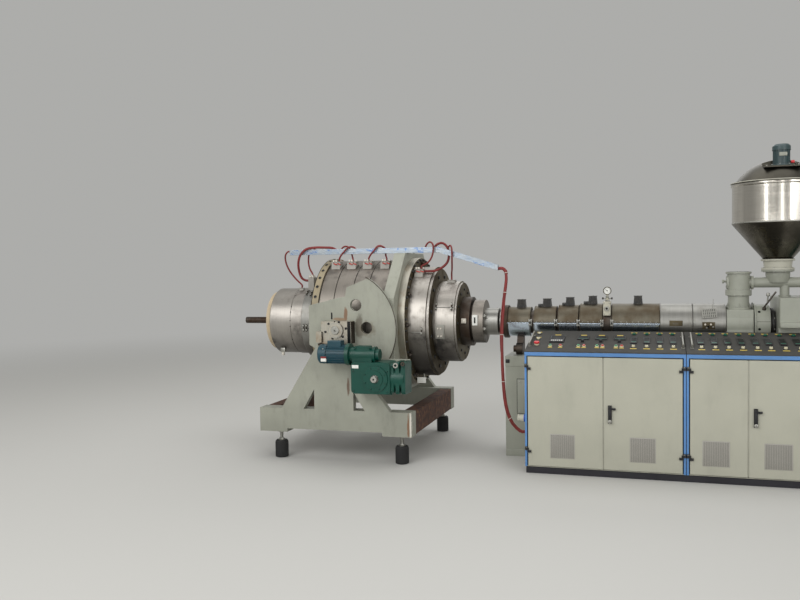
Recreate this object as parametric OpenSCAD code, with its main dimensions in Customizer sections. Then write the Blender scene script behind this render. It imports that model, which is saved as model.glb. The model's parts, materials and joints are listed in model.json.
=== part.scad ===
// Pipe extruder with its hopper, drive, control cabinets and die head on a stand.
// X runs along the screw axis from the die to the motor, Y away from the
// operator, Z up. The origin is on the floor under the feed pipe.

/* [Barrel] */
// Height of the screw axis above the machine base
axis_rise = 260; // [250:2:280]
// Radius of the steel barrel
barrel_r = 92; // [85:1:95]
// Radius of the covers at the feed end
cover_r = 144; // [135:1:150]
// Radius of the third cover
cover_3_r = 134; // [128:1:140]
// Radius of the second cover
cover_2_r = 124; // [118:1:130]
// Radius of the cover beside the die
cover_1_r = 118; // [112:1:124]
// Length of the cover beside the die
cover_1_l = 181; // [150:1:210]
// Length of the second cover
cover_2_l = 174; // [150:1:200]
// Length of the third cover
cover_3_l = 158; // [130:1:190]
// Length of the fourth cover
cover_4_l = 174; // [150:1:200]
// Length of the long middle cover
long_cover_l = 352; // [300:1:400]
// Length of each plain steel cover at the feed end
steel_cover_l = 230; // [200:1:260]
// Sheet that the covers are rolled from
cover_t = 4; // [3:0.5:6]
// Gap after the first cover
gap_1 = 27; // [20:1:40]
// Gap after the second cover
gap_2 = 15; // [10:1:25]
// Gap after the third cover
gap_3 = 8; // [6:1:16]
// Thin gap between the other covers
seam_gap = 3; // [2:0.5:6]
// Length of the vent block
vent_l = 63; // [50:1:80]
// Radius of the barrel's end flange
barrel_flange_r = 132; // [124:1:140]
// Thickness of the barrel's end flange
barrel_flange_t = 36; // [28:1:45]

/* [Feed and drive] */
// Length of the feed throat casting
throat_l = 186; // [175:1:200]
// Height of the throat casting's flat top above the axis
throat_h = 102; // [95:1:110]
// Half width of the throat casting
throat_y = 130; // [115:1:140]
// Length of the round bearing section behind the throat
bearing_l = 114; // [100:1:130]
// Radius of the round bearing section
bearing_r = 138; // [130:1:142]
// Open length between bearing section and gearbox
coupling_gap = 42; // [36:1:60]
// Length of the gearbox
gearbox_l = 560; // [500:5:620]
// Half width of the gearbox
gearbox_y = 250; // [220:5:270]
// Height of the gearbox top above the axis
gearbox_h = 195; // [180:1:215]
// Radius of the drive motor
motor_r = 185; // [170:1:200]
// Length of the drive motor's finned body
motor_l = 560; // [500:5:620]
// Outer radius of the vertical feed pipe
feed_r = 74; // [68:1:80]
// Height of the feed pipe's joint flange above the screw axis
feed_joint_up = 226; // [220:1:236]
// Height of the feed pipe's top above the screw axis
feed_top_up = 382; // [376:1:392]
// Radius of the dosing tube
dosing_r = 38; // [34:1:42]
// Height of the dosing tube above the screw axis
dosing_up = 300; // [296:1:304]

/* [Hopper] */
// Distance from the feed pipe to the hopper's axis
hopper_x = 269; // [260:1:290]
// Outer radius of the hopper
hopper_r = 315; // [300:1:330]
// Sheet of the hopper
hopper_t = 5; // [4:0.5:8]
// Height of the outlet flange's face above the dosing tube
outlet_up = 93; // [88:1:98]
// Height of the outlet neck under the cone
neck_h = 77; // [70:1:84]
// Height of the cone
cone_h = 262; // [240:1:290]
// Height of the cylindrical shell
shell_h = 290; // [260:1:320]
// Radius of the cone's mouth
mouth_r = 100; // [92:1:108]
// Rise of the domed cover
dome_h = 168; // [150:1:180]
// Radius of the stirrer motor
stirrer_r = 58; // [50:1:64]
// Height of the stirrer motor
stirrer_h = 165; // [150:1:180]

/* [Base and cabinets] */
// Left end of the machine base
base_left = -1726; // [-1735:1:-1710]
// Height of the machine base
base_h = 790; // [780:1:800]
// Half width of the machine base
base_y = 200; // [190:1:206]
// Width of the first cabinet
cabinet_1_w = 1100; // [1060:5:1140]
// Width of the second cabinet
cabinet_2_w = 782; // [740:2:820]
// Depth of the cabinets
cabinet_d = 510; // [480:5:540]
// Left side of the first cabinet
cabinet_left = -1498; // [-1510:1:-1480]
// Height of the dark plinth
plinth_h = 50; // [40:1:70]
// Height of the cabinets' top edge above the machine base
cabinet_rise = 89; // [80:1:96]
// Height of the blue rail on the cabinets' front
rail_h = 26; // [20:1:34]
// Width of the blue posts at the cabinets' corners
post_w = 15; // [12:1:20]
// Sheet of the cabinets
sheet = 4; // [3:0.5:6]
// Rise of the console's back edge over its cabinet
console_rise = 115; // [105:1:125]
// Space between the two cabinets
cabinet_gap = 4; // [2:1:8]
// Thickness of a door
door_t = 20; // [16:1:26]
// Running gap round a door
door_gap = 7; // [6:0.5:9]
// Side of the square louvre in a door
louvre = 165; // [150:5:180]

/* [Die head] */
// Radius of the adapter's clamp ring
clamp_r = 175; // [165:1:185]
// Radius of the adapter behind the clamp ring
adapter_r = 200; // [190:1:210]
// Radius of the small die ring
ring_b_r = 330; // [315:1:345]
// Length of the small die ring
ring_b_l = 191; // [175:1:205]
// Radius of the large die ring
ring_a_r = 450; // [435:1:465]
// Length of the large die ring
ring_a_l = 168; // [155:1:180]
// Radius of the bolting flanges on the die body
die_flange_r = 527; // [518:1:540]
// Thickness of each bolting flange
die_flange_t = 60; // [50:1:70]
// Radius of the die body under its heaters
die_body_r = 496; // [485:1:500]
// Length of the die body
die_body_l = 578; // [560:1:600]
// Radius of the heater bands on the body
heater_r = 510; // [506:1:514]
// Thickness of the saddle plate
saddle_t = 94; // [84:1:104]
// Radius of the clamp heater at the outlet
clamp_heater_r = 318; // [308:1:326]
// Radius of the outlet rings
outlet_r = 280; // [270:1:290]
// Length of the outlet rings
outlet_l = 308; // [290:1:330]
// Radius of the pipe lip in the outlet
lip_r = 250; // [240:1:260]

/* [Stand] */
// Distance from the screw axis to the outside of each side frame
stand_y = 700; // [690:1:710]
// Depth of the long base beams
beam_d = 120; // [110:1:130]
// Thickness of the side frames
frame_t = 60; // [54:1:64]
// Top of the base beams
beam_top = 400; // [390:1:420]
// Underside of the base beams
beam_low = 240; // [236:1:250]
// Underside of the end pads
pad_low = 212; // [208:1:220]
// Distance from the feed pipe to the trunnion
trunnion_x = -2945; // [-2955:1:-2935]
// Radius of the sector plate
sector_r = 460; // [450:1:470]
// Drop of the trunnion below the screw axis
trunnion_drop = 26; // [15:1:35]
// Thickness of the sector plate
sector_t = 40; // [34:1:44]
// Radius of a jack foot
foot_r = 50; // [44:1:56]
// Height of a jack foot
foot_h = 137; // [125:1:145]
// Distance from the trunnion to the left end of the base beams
beam_reach_left = 670; // [650:5:690]
// Distance from the trunnion to the right end of the base beams
beam_reach_right = 590; // [570:5:610]
// Distance from the trunnion to the reducer's output shaft
reducer_right = 375; // [365:1:385]
// Drop of the reducer's output shaft below the screw axis
reducer_drop = 369; // [360:1:376]
// Depth of the worm reducer
reducer_d = 212; // [190:2:230]
// Rise of the brake motor over the output shaft
brake_up = 170; // [165:1:176]
// Radius of the brake motor
brake_r = 74; // [68:1:78]
// Length of the brake motor
brake_l = 220; // [200:2:240]

/* [Hidden] */
$fn = 72;
// Clearance between curved faces that sit on each other
fit = 0.3;

// Heights
axis_h = base_h + axis_rise;
dosing_z = axis_h + dosing_up;
feed_joint_z = axis_h + feed_joint_up;
feed_top_z = axis_h + feed_top_up;
outlet_z = dosing_z + outlet_up;
cone_z = outlet_z + neck_h;
shell_z = cone_z + cone_h;
rim_z = shell_z + shell_h;
cabinet_h = base_h + cabinet_rise;
console_h = cabinet_h + console_rise;

// Places along the screw axis, worked out from the feed pipe to the die
throat_x0 = -throat_l / 2;
bearing_x0 = throat_l / 2;
coupling_x0 = bearing_x0 + bearing_l;
gearbox_x0 = coupling_x0 + coupling_gap;
gearbox_x1 = gearbox_x0 + gearbox_l;
steel_7_x0 = throat_x0 - seam_gap - steel_cover_l;
steel_6_x0 = steel_7_x0 - seam_gap - steel_cover_l;
cover_5_x0 = steel_6_x0 - seam_gap - long_cover_l;
vent_x0 = cover_5_x0 - seam_gap - vent_l;
cover_4_x0 = vent_x0 - seam_gap - cover_4_l;
cover_3_x0 = cover_4_x0 - gap_3 - cover_3_l;
cover_2_x0 = cover_3_x0 - gap_2 - cover_2_l;
cover_1_x0 = cover_2_x0 - gap_1 - cover_1_l;
barrel_x0 = cover_1_x0 - barrel_flange_t;
neck_l = 152;
neck_r = 110;
neck_waist_r = 82;
clamp_l = 89;
clamp_x0 = barrel_x0 - neck_l - clamp_l;
adapter_l = 81;
adapter_waist_l = 15;
adapter_x0 = clamp_x0 - adapter_waist_l - adapter_l;
ring_b_x0 = adapter_x0 - ring_b_l;
ring_a_x0 = ring_b_x0 - ring_a_l;
rear_flange_x0 = ring_a_x0 - die_flange_t;
saddle_x0 = rear_flange_x0 - saddle_t;
body_x0 = saddle_x0 - die_body_l;
front_flange_x0 = body_x0 - die_flange_t;
outlet_neck_l = 96;
outlet_neck_r = 296;
clamp_heater_l = 76;
clamp_heater_x0 = front_flange_x0 - outlet_neck_l - clamp_heater_l;
outlet_x0 = clamp_heater_x0 - outlet_l;
lip_l = 45;
mandrel_r = lip_r - 18;
lip_seat = 30;
stub_r = 28;
stub_l = 325;
// Each cover with a dark upper half: its left end, length and radius
dark_covers = [
    [cover_1_x0, cover_1_l, cover_1_r], [cover_2_x0, cover_2_l, cover_2_r],
    [cover_3_x0, cover_3_l, cover_3_r], [cover_4_x0, cover_4_l, cover_r],
    [cover_5_x0, long_cover_l, cover_r]
];
// Base and cabinets
base_right = gearbox_x1 + motor_l + 60;
cabinet_front = -base_y - cabinet_d;
cabinet_split = cabinet_left + cabinet_1_w;
cabinet_2_x0 = cabinet_split + cabinet_gap;
cabinet_right = cabinet_2_x0 + cabinet_2_w;
door_z0 = plinth_h + door_gap;
door_z1 = cabinet_h - rail_h - door_gap;
door_1_x0 = cabinet_left + post_w + door_gap;
door_1_w = (cabinet_1_w - 2 * post_w - 3 * door_gap) / 2;
door_3_x0 = cabinet_2_x0 + post_w + door_gap;
door_3_w = (cabinet_2_w - 2 * post_w - 3 * door_gap) / 2;
door_2_x0 = door_1_x0 + door_1_w + door_gap;
door_4_x0 = door_3_x0 + door_3_w + door_gap;
hinge_out = 9;
hinge_r = 6;
hinge_h = 34;
hinge_zs = [door_z0 + 95, door_z1 - 95];
louvre_z0 = door_z0 + 66;

// A round solid along X, from x0 for length l, on the screw axis
module rod(x0, l, r, z = axis_h, y = 0) {
    translate([x0, y, z]) rotate([0, 90, 0]) cylinder(h = l, r = r);
}

// A ring along X on the screw axis
module band(x0, l, r, r_in) {
    difference() {
        rod(x0, l, r);
        rod(x0 - 1, l + 2, r_in);
    }
}

// A solid turned about the screw axis from [x, r] points
module turned(points) {
    translate([0, 0, axis_h]) rotate([0, 90, 0]) rotate([0, 0, 90])
        rotate_extrude() polygon([for (p = points) [p[1], p[0]]]);
}

// A solid turned about a vertical axis at x, y from [r, z] points
module upright(points, x = 0, y = 0) {
    translate([x, y, 0]) rotate_extrude() polygon(points);
}

// A box given by its two corners
module block(a, b) {
    translate(a) cube(b - a);
}

// A plate in the X-Z plane from y0 to y1 with the outline of its children
module side_plate(y0, y1) {
    translate([0, y1, 0]) rotate([90, 0, 0]) linear_extrude(y1 - y0) children();
}

// A plate in the Y-Z plane from x0 to x1 with the outline of its children
module cross_plate(x0, x1) {
    translate([x0, 0, 0]) rotate([90, 0, 90]) linear_extrude(x1 - x0) children();
}

// A rectangle from low to high with round corners
module rounded(low, high, r) {
    size = high - low;
    translate(low + [r, 0]) square([size[0] - 2 * r, size[1]]);
    translate(low + [0, r]) square([size[0], size[1] - 2 * r]);
    for (x = [low[0] + r, high[0] - r], y = [low[1] + r, high[1] - r]) translate([x, y]) circle(r = r);
}

// A motor's body along Z with cooling fins, r over the fins
module finned(l, r, fin, count) {
    fin_t = 5;
    root = 3;
    cylinder(h = l, r = r - fin);
    for (i = [0 : count - 1]) rotate((i + 0.5) * 360 / count)
        translate([r - fin - root, -fin_t / 2, 1]) cube([fin + root - 1, fin_t, l - 2]);
}

// Draws its children on the operator's side and on the far side
module both_sides() {
    children();
    mirror([0, 1, 0]) children();
}

module machine_base() {
    lip = 80;
    recess = 6;
    color("gainsboro") difference() {
        block([base_left, -base_y, 0], [base_right, base_y, base_h]);
        // The body stands back under the top lip on both long sides
        both_sides() block([base_left - 1, -base_y - 1, plinth_h],
            [base_left + 220, -base_y + recess, base_h - lip]);
        mirror([0, 1, 0]) block([base_left + 240, -base_y - 1, plinth_h],
            [base_right + 1, -base_y + recess, base_h - lip]);
        block([cabinet_right + 20, -base_y - 1, plinth_h], [base_right + 1, -base_y + recess, base_h - lip]);
    }
}

module barrel() {
    color("dimgray") union() {
        rod(barrel_x0, throat_x0 - barrel_x0, barrel_r);
        rod(barrel_x0, barrel_flange_t, barrel_flange_r);
        rod(vent_x0, vent_l, cover_r - 10);
    }
}

// One half of a rolled cover with its end walls; side is 1 above the axis, -1 below
module cover_half(x0, l, r, side) {
    parting = 1;
    difference() {
        rod(x0, l, r);
        rod(x0 + cover_t, l - 2 * cover_t, r - cover_t);
        rod(x0 - 1, l + 2, barrel_r + fit);
        translate([x0 - 2, -r - 2, side > 0 ? axis_h - r - 2 : axis_h - parting])
            cube([l + 4, 2 * r + 4, r + 2 + parting]);
    }
    lip = 14;
    both_sides() block([x0, -r - lip + 4, side > 0 ? axis_h + parting : axis_h - parting - 6],
        [x0 + l, -r + 1, side > 0 ? axis_h + parting + 6 : axis_h - parting]);
}

module cover_tops() {
    color("rosybrown") for (c = dark_covers) cover_half(c[0], c[1], c[2], 1);
}

module cover_trays() {
    color("silver") for (c = dark_covers) cover_half(c[0], c[1], c[2], -1);
}

module steel_covers() {
    color("silver") for (x = [steel_7_x0, steel_6_x0]) difference() {
        rod(x, steel_cover_l, cover_r);
        rod(x + cover_t, steel_cover_l - 2 * cover_t, cover_r - cover_t);
        rod(x - 1, steel_cover_l + 2, barrel_r + fit);
    }
}

module barrel_terminals() {
    half_top = 28;
    half_foot = 35;
    box_y = 36;
    box_h = 56;
    sink = 8;
    color("dimgray") for (c = dark_covers) {
        x = c[0] + c[1] * 0.55;
        z = axis_h + c[2];
        difference() {
            union() {
                side_plate(-box_y, box_y) polygon([[x - half_foot, z - sink], [x + half_foot, z - sink],
                    [x + half_top, z + box_h], [x - half_top, z + box_h]]);
                // Ribs down the front and back
                both_sides() for (rib = [-18 : 12 : 18])
                    block([x + rib - 2, -box_y - 4, z - sink], [x + rib + 2, -box_y + 1, z + box_h - 6]);
                // Lid
                block([x - half_top - 4, -box_y - 3, z + box_h],
                    [x + half_top + 4, box_y + 3, z + box_h + 5]);
            }
            rod(c[0], c[1], c[2] + fit);
        }
    }
}

module barrel_blowers() {
    fan_r = 46;
    fan_l = 54;
    duct_y = 40;
    sink = 14;
    color("darkslategray") for (c = dark_covers) {
        x = c[0] + c[1] / 2;
        low = axis_h - c[2];
        difference() {
            union() {
                // Snail housing on the base, and the duct up to the tray
                rod(x - fan_l / 2, fan_l, fan_r, base_h + fan_r, -cover_1_r / 2);
                rod(x - fan_l / 2 - 22, 23, fan_r * 0.6, base_h + fan_r, -cover_1_r / 2);
                cross_plate(x - fan_l / 2, x + fan_l / 2) polygon([[-cover_1_r / 2, base_h], [duct_y, base_h],
                    [duct_y, low + sink], [-duct_y / 2, low + sink], [-duct_y / 2, low - sink],
                    [-cover_1_r / 2, base_h + fan_r]]);
            }
            rod(c[0], c[1], c[2] + fit);
        }
    }
}

module vent_port() {
    x = vent_x0 + vent_l / 2;
    top = axis_h + cover_r - 10;
    color("gainsboro") {
        // Port block on the front of the vent
        difference() {
            block([x - 27, -cover_r - 12, axis_h + 60], [x + 27, 20, top + 30]);
            rod(vent_x0 - 1, vent_l + 2, cover_r - 10 + fit);
        }
        upright([[0, top + 30], [14, top + 30], [14, top + 50], [9, top + 50], [9, top + 86],
            [0, top + 86]], x, -60);
    }
    // Gauge on the stem, facing the operator
    translate([x, -60 + 14, top + 112]) rotate([90, 0, 0]) cylinder(h = 28, r = 30);
}

module feed_throat() {
    lower = 150;
    color("lightgray") union() {
        block([throat_x0, -throat_y, axis_h - lower], [bearing_x0, throat_y, axis_h + throat_h]);
        // Round flanks, flat on top
        intersection() {
            rod(throat_x0, throat_l, throat_y + 8);
            block([throat_x0, -throat_y - 10, axis_h - lower],
                [bearing_x0, throat_y + 10, axis_h + throat_h]);
        }
        // Foot down to the base
        block([throat_x0 + 20, -throat_y + 10, base_h], [bearing_x0 - 20, throat_y - 10, axis_h - lower]);
    }
}

module bearing_section() {
    color("lightgray") union() {
        rod(bearing_x0, bearing_l, bearing_r);
        rod(bearing_x0, 16, bearing_r + 12);
        block([bearing_x0, -110, base_h], [coupling_x0, 110, axis_h]);
    }
}

module coupling() {
    color("dimgray") union() {
        rod(coupling_x0, coupling_gap, 95);
        rod(coupling_x0 + coupling_gap / 3, coupling_gap / 3, 112);
    }
}

module gearbox() {
    low_y = base_y - 8;
    color("lightgray") union() {
        // The lower housing stands behind the consoles, the upper one is wider
        block([gearbox_x0, -low_y, base_h], [gearbox_x1, low_y, axis_h]);
        block([gearbox_x0, -gearbox_y, axis_h - 20], [gearbox_x1, gearbox_y, axis_h + gearbox_h]);
        both_sides() block([gearbox_x0, -gearbox_y - 30, axis_h - 20], [gearbox_x1, -gearbox_y, axis_h + 20]);
    }
}

module drive_motor() {
    x0 = gearbox_x1;
    flange_t = 30;
    cowl_l = 70;
    foot_l = 80;
    color("steelblue") union() {
        rod(x0, flange_t, motor_r + 12);
        translate([x0 + flange_t, 0, axis_h]) rotate([0, 90, 0])
            finned(motor_l - flange_t - cowl_l, motor_r, 20, 24);
        turned([[x0 + motor_l - cowl_l, 0], [x0 + motor_l - cowl_l, motor_r + 4],
            [x0 + motor_l - 20, motor_r + 4],
            [x0 + motor_l, motor_r - 16], [x0 + motor_l, 0]]);
        // Terminal box and feet
        cross_plate(x0 + 120, x0 + 300)
            rounded([-90, axis_h + motor_r - 30], [90, axis_h + motor_r + 90], 12);
        both_sides() for (x = [x0 + 60, x0 + motor_l - 190])
            block([x, -motor_r - 20, base_h], [x + foot_l, -motor_r / 3, axis_h - 110]);
    }
}

module feed_pipe() {
    z0 = axis_h + throat_h;
    lid_t = 14;
    color("lightgray") union() {
        upright([[0, z0], [feed_r + 16, z0], [feed_r + 16, z0 + 16], [feed_r, z0 + 16],
            [feed_r, feed_joint_z - 20], [feed_r + 18, feed_joint_z - 20], [feed_r + 18, feed_joint_z + 20],
            [feed_r + 6, feed_joint_z + 20], [feed_r + 6, feed_top_z - lid_t],
            [feed_r + 16, feed_top_z - lid_t],
            [feed_r + 16, feed_top_z], [0, feed_top_z]]);
        // Sampling knob on the side away from the hopper
        rod(-feed_r - 30, 30, 9, dosing_z + 10);
        rod(-feed_r - 40, 12, 15, dosing_z + 10);
    }
}

module dosing_tube() {
    end_x = hopper_x + 190;
    color("lightgray") difference() {
        union() {
            rod(feed_r - 10, end_x - feed_r + 10, dosing_r, dosing_z);
            // Inlet neck under the hopper and the end flange for the motor
            upright([[0, dosing_z], [72, dosing_z], [84, outlet_z - 40], [84, outlet_z - 13],
                [112, outlet_z - 13], [112, outlet_z], [0, outlet_z]], hopper_x);
            rod(end_x - 16, 16, 62, dosing_z);
            rod(feed_r + 10, 18, dosing_r + 13, dosing_z);
        }
        upright([[0, dosing_z - 60], [feed_r + 6 + fit, dosing_z - 60], [feed_r + 6 + fit, dosing_z + 60],
            [0, dosing_z + 60]]);
    }
}

module dosing_motor() {
    x0 = hopper_x + 190;
    color("seagreen") union() {
        rod(x0, 60, 70, dosing_z);
        rod(x0 + 60, 150, 60, dosing_z);
        rod(x0 + 210, 30, 52, dosing_z);
        block([x0 + 80, -35, dosing_z + 40], [x0 + 150, 35, dosing_z + 92]);
    }
}

module dosing_support() {
    x = hopper_x + 46;
    color("lightgray") difference() {
        upright([[0, axis_h + gearbox_h], [42, axis_h + gearbox_h], [42, axis_h + gearbox_h + 10],
            [33, axis_h + gearbox_h + 10], [33, dosing_z], [0, dosing_z]], x);
        rod(x - 60, 120, dosing_r + fit, dosing_z);
    }
}

module hopper_outlet() {
    color("lightgray") difference() {
        upright([[0, outlet_z], [112, outlet_z], [112, outlet_z + 14], [mouth_r - 6, outlet_z + 14],
            [mouth_r, cone_z - 12], [mouth_r + 14, cone_z - 12], [mouth_r + 14, cone_z], [0, cone_z]],
            hopper_x);
        upright([[0, outlet_z - 1], [mouth_r - 14, outlet_z - 1], [mouth_r - 14, cone_z + 1],
            [0, cone_z + 1]], hopper_x);
    }
}

module hopper_cone() {
    t = hopper_t;
    color("slategray") upright([[mouth_r - t, cone_z], [mouth_r + 14, cone_z], [mouth_r + 14, cone_z + 4],
        [mouth_r + 2, cone_z + 4], [hopper_r, shell_z], [hopper_r - 2 * t, shell_z]], hopper_x);
}

module hopper_shell() {
    t = hopper_t;
    color("silver") upright([[hopper_r - t, shell_z], [hopper_r, shell_z], [hopper_r, rim_z - 18],
        [hopper_r + 8, rim_z - 14], [hopper_r + 8, rim_z], [hopper_r - 18, rim_z], [hopper_r - 18, rim_z - 4],
        [hopper_r - t, rim_z - 4]], hopper_x);
}

// Solid dome on the hopper's rim: r at the foot, h high
module dome(r, h, z) {
    ball = (r * r + h * h) / (2 * h);
    translate([hopper_x, 0, z]) intersection() {
        translate([0, 0, h - ball]) sphere(r = ball, $fn = 144);
        cylinder(h = h + 10, r = r);
    }
}

seat_z = rim_z + dome_h - 66;
seat_x = 124;
seat_y0 = -236;
seat_y1 = -74;

module hopper_dome() {
    t = hopper_t;
    color("gray") difference() {
        union() {
            dome(hopper_r - 18, dome_h, rim_z + 8);
            translate([hopper_x, 0, rim_z]) cylinder(h = 8, r = hopper_r + 4);
        }
        // Level step for the stirrer's base plate
        block([hopper_x - seat_x, -hopper_r, seat_z], [hopper_x + seat_x, seat_y1, rim_z + dome_h + 40]);
        difference() {
            union() {
                dome(hopper_r - 18 - t, dome_h - t, rim_z + 8);
                translate([hopper_x, 0, rim_z - 1]) cylinder(h = 10, r = hopper_r - 18 - t);
            }
            block([hopper_x - seat_x - t, -hopper_r, seat_z - t],
                [hopper_x + seat_x + t, seat_y1 + t, rim_z + dome_h + 40]);
        }
    }
}

module stirrer_motor() {
    y = (seat_y0 + seat_y1) / 2;
    foot_t = 10;
    flange_t = 12;
    cowl_h = 40;
    z0 = seat_z + foot_t + flange_t;
    z1 = seat_z + stirrer_h;
    color("darkslategray") union() {
        block([hopper_x - seat_x + 2, seat_y0, seat_z],
            [hopper_x + seat_x - 2, seat_y1 - 2, seat_z + foot_t]);
        translate([hopper_x, y, seat_z + foot_t]) cylinder(h = flange_t, r = stirrer_r + 12);
        translate([hopper_x, y, z0]) finned(z1 - cowl_h - z0, stirrer_r, 6, 20);
        upright([[0, z1 - cowl_h], [stirrer_r + 3, z1 - cowl_h], [stirrer_r + 3, z1 - 14],
            [stirrer_r - 10, z1], [0, z1]],
            hopper_x, y);
    }
}

module plinth() {
    inset = 10;
    color("#333333") block([cabinet_left + inset / 2, cabinet_front + inset, 0],
        [cabinet_right - inset / 2, -base_y, plinth_h]);
}

// A sheet cabinet, open at the front, with a folded frame round the opening
module cabinet(x0, w) {
    t = sheet;
    difference() {
        block([x0, cabinet_front, plinth_h], [x0 + w, -base_y, cabinet_h]);
        block([x0 + t, cabinet_front - 1, plinth_h + t], [x0 + w - t, -base_y - t, cabinet_h - t]);
    }
}

// Gland in the first cabinet's side, where the heaters' cables go in
gland_l = 14;
gland_y = -450;
gland_z = 250;

module cabinet_1() {
    color("ivory") {
        cabinet(cabinet_left, cabinet_1_w);
        rod(cabinet_left - gland_l, gland_l + 1, 24, gland_z, gland_y);
    }
}

module cabinet_2() {
    color("ivory") cabinet(cabinet_2_x0, cabinet_2_w);
}

module blue_trim() {
    color("cornflowerblue") for (c = [[cabinet_left, cabinet_1_w], [cabinet_2_x0, cabinet_2_w]])
        side_plate(cabinet_front - 2, cabinet_front) difference() {
            translate([c[0], plinth_h]) square([c[1], cabinet_h - plinth_h]);
            translate([c[0] + post_w, plinth_h - 1])
                square([c[1] - 2 * post_w, cabinet_h - rail_h - plinth_h + 1]);
        }
}

// The sloping desk on a cabinet
module console(x0, w) {
    cross_plate(x0, x0 + w) polygon([[cabinet_front - 4, cabinet_h], [cabinet_front - 4, cabinet_h + 8],
        [-base_y - 8, console_h], [-base_y, console_h - 8], [-base_y, cabinet_h]]);
}

module consoles() {
    color("dimgray") {
        console(cabinet_left, cabinet_1_w);
        console(cabinet_2_x0, cabinet_2_w);
    }
}

// A door leaf with its louvre and hinge knuckles; side is -1 when hinged on the left
module door(x0, w, louvre_x, side) {
    blades = 15;
    pitch = louvre / blades;
    y0 = cabinet_front;
    hinge_x = side < 0 ? x0 : x0 + w;
    difference() {
        block([x0, y0, door_z0], [x0 + w, y0 + door_t, door_z1]);
        // Slots of the louvre
        for (i = [0 : blades - 1])
            block([louvre_x, y0 - 1, louvre_z0 + i * pitch + 2],
                [louvre_x + louvre, y0 + door_t + 1, louvre_z0 + (i + 1) * pitch - 2]);
        // The leaf is a folded tray, open to the inside
        block([x0 + 12, y0 + 3, door_z0 + 12], [louvre_x - 12, y0 + door_t + 1, door_z1 - 12]);
        block([louvre_x + louvre + 12, y0 + 3, door_z0 + 12], [x0 + w - 12, y0 + door_t + 1, door_z1 - 12]);
        block([louvre_x - 13, y0 + 3, louvre_z0 + louvre + 12],
            [louvre_x + louvre + 13, y0 + door_t + 1, door_z1 - 12]);
    }
    for (z = hinge_zs) {
        translate([hinge_x, y0 - hinge_out, z]) cylinder(h = hinge_h / 2, r = hinge_r);
        block([side < 0 ? x0 : x0 + w - 24, y0 - hinge_out - 3, z],
            [side < 0 ? x0 + 24 : x0 + w, y0, z + hinge_h / 2]);
    }
}

module door_1() {
    color("ivory") door(door_1_x0, door_1_w, door_1_x0 + (door_1_w - louvre) * 0.45, -1);
}

module door_2() {
    color("ivory") door(door_2_x0, door_1_w, door_2_x0 + (door_1_w - louvre) * 0.5, 1);
}

module door_3() {
    color("ivory") door(door_3_x0, door_3_w, door_3_x0 + (door_3_w - louvre) * 0.42, -1);
}

module door_4() {
    color("ivory") door(door_4_x0, door_3_w, door_4_x0 + (door_3_w - louvre) * 0.5, 1);
}

// Black swing handle on its boss; x is the handle's centre
module swing_handle(x, z) {
    grip_h = 127;
    side_plate(cabinet_front - 8, cabinet_front) translate([x - 13, z]) square([26, grip_h]);
    side_plate(cabinet_front - 22, cabinet_front - 8) translate([x - 10, z + 12]) square([20, grip_h - 20]);
    side_plate(cabinet_front - 20, cabinet_front - 8) translate([x + 10, z + grip_h - 30]) square([30, 14]);
}

module handle_1() {
    color("#222222") swing_handle(door_2_x0 + 42, 385);
}

module handle_2() {
    color("#222222") swing_handle(door_4_x0 + 42, 396);
}

// Fixed half of a hinge pair on a blue post; side as in door
module fixed_hinge(x, side) {
    reach = post_w + door_gap;
    y0 = cabinet_front;
    for (z = hinge_zs) translate([0, 0, z + hinge_h / 2 + fit]) {
        translate([x, y0 - hinge_out, 0]) cylinder(h = hinge_h / 2, r = hinge_r);
        block([side < 0 ? x - reach : x, y0 - hinge_out - 3, 0],
            [side < 0 ? x : x + reach, y0 - 2, hinge_h / 2]);
    }
}

module hinges() {
    color("#222222") {
        fixed_hinge(door_1_x0, -1);
        fixed_hinge(door_2_x0 + door_1_w, 1);
        fixed_hinge(door_3_x0, -1);
        fixed_hinge(door_4_x0 + door_3_w, 1);
    }
}

module die_mandrel() {
    face_x = outlet_x0 - lip_l + 14;
    color("dimgray") turned([[face_x - stub_l, 0], [face_x - stub_l, stub_r], [face_x - 40, stub_r],
        [face_x - 40, stub_r + 22], [face_x, stub_r + 22], [face_x, mandrel_r - 6], [face_x + 6, mandrel_r],
        [outlet_x0 + lip_seat, mandrel_r], [outlet_x0 + lip_seat, 0]]);
}

module die_lip() {
    color("beige") turned([[outlet_x0 - lip_l, mandrel_r + fit], [outlet_x0 - lip_l, lip_r],
        [outlet_x0 + lip_seat, lip_r], [outlet_x0 + lip_seat, mandrel_r + fit]]);
}

module die_outlet() {
    groove_x = outlet_x0 + outlet_l * 0.63;
    color("silver") difference() {
        turned([[outlet_x0, 0], [outlet_x0, outlet_r - 6], [outlet_x0 + 6, outlet_r],
            [groove_x - 3, outlet_r],
            [groove_x - 3, outlet_r - 5], [groove_x + 3, outlet_r - 5], [groove_x + 3, outlet_r + 4],
            [clamp_heater_x0, outlet_r + 4], [clamp_heater_x0, 0]]);
        rod(outlet_x0 - 1, 1 + lip_seat, lip_r + fit);
    }
}

// Terminal block on the clamp heater; its foot and its top are measured from the axis
clamp_block_y = -140;
clamp_block_w = 72;
clamp_block_foot = 240;
clamp_block_top = 375;

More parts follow.
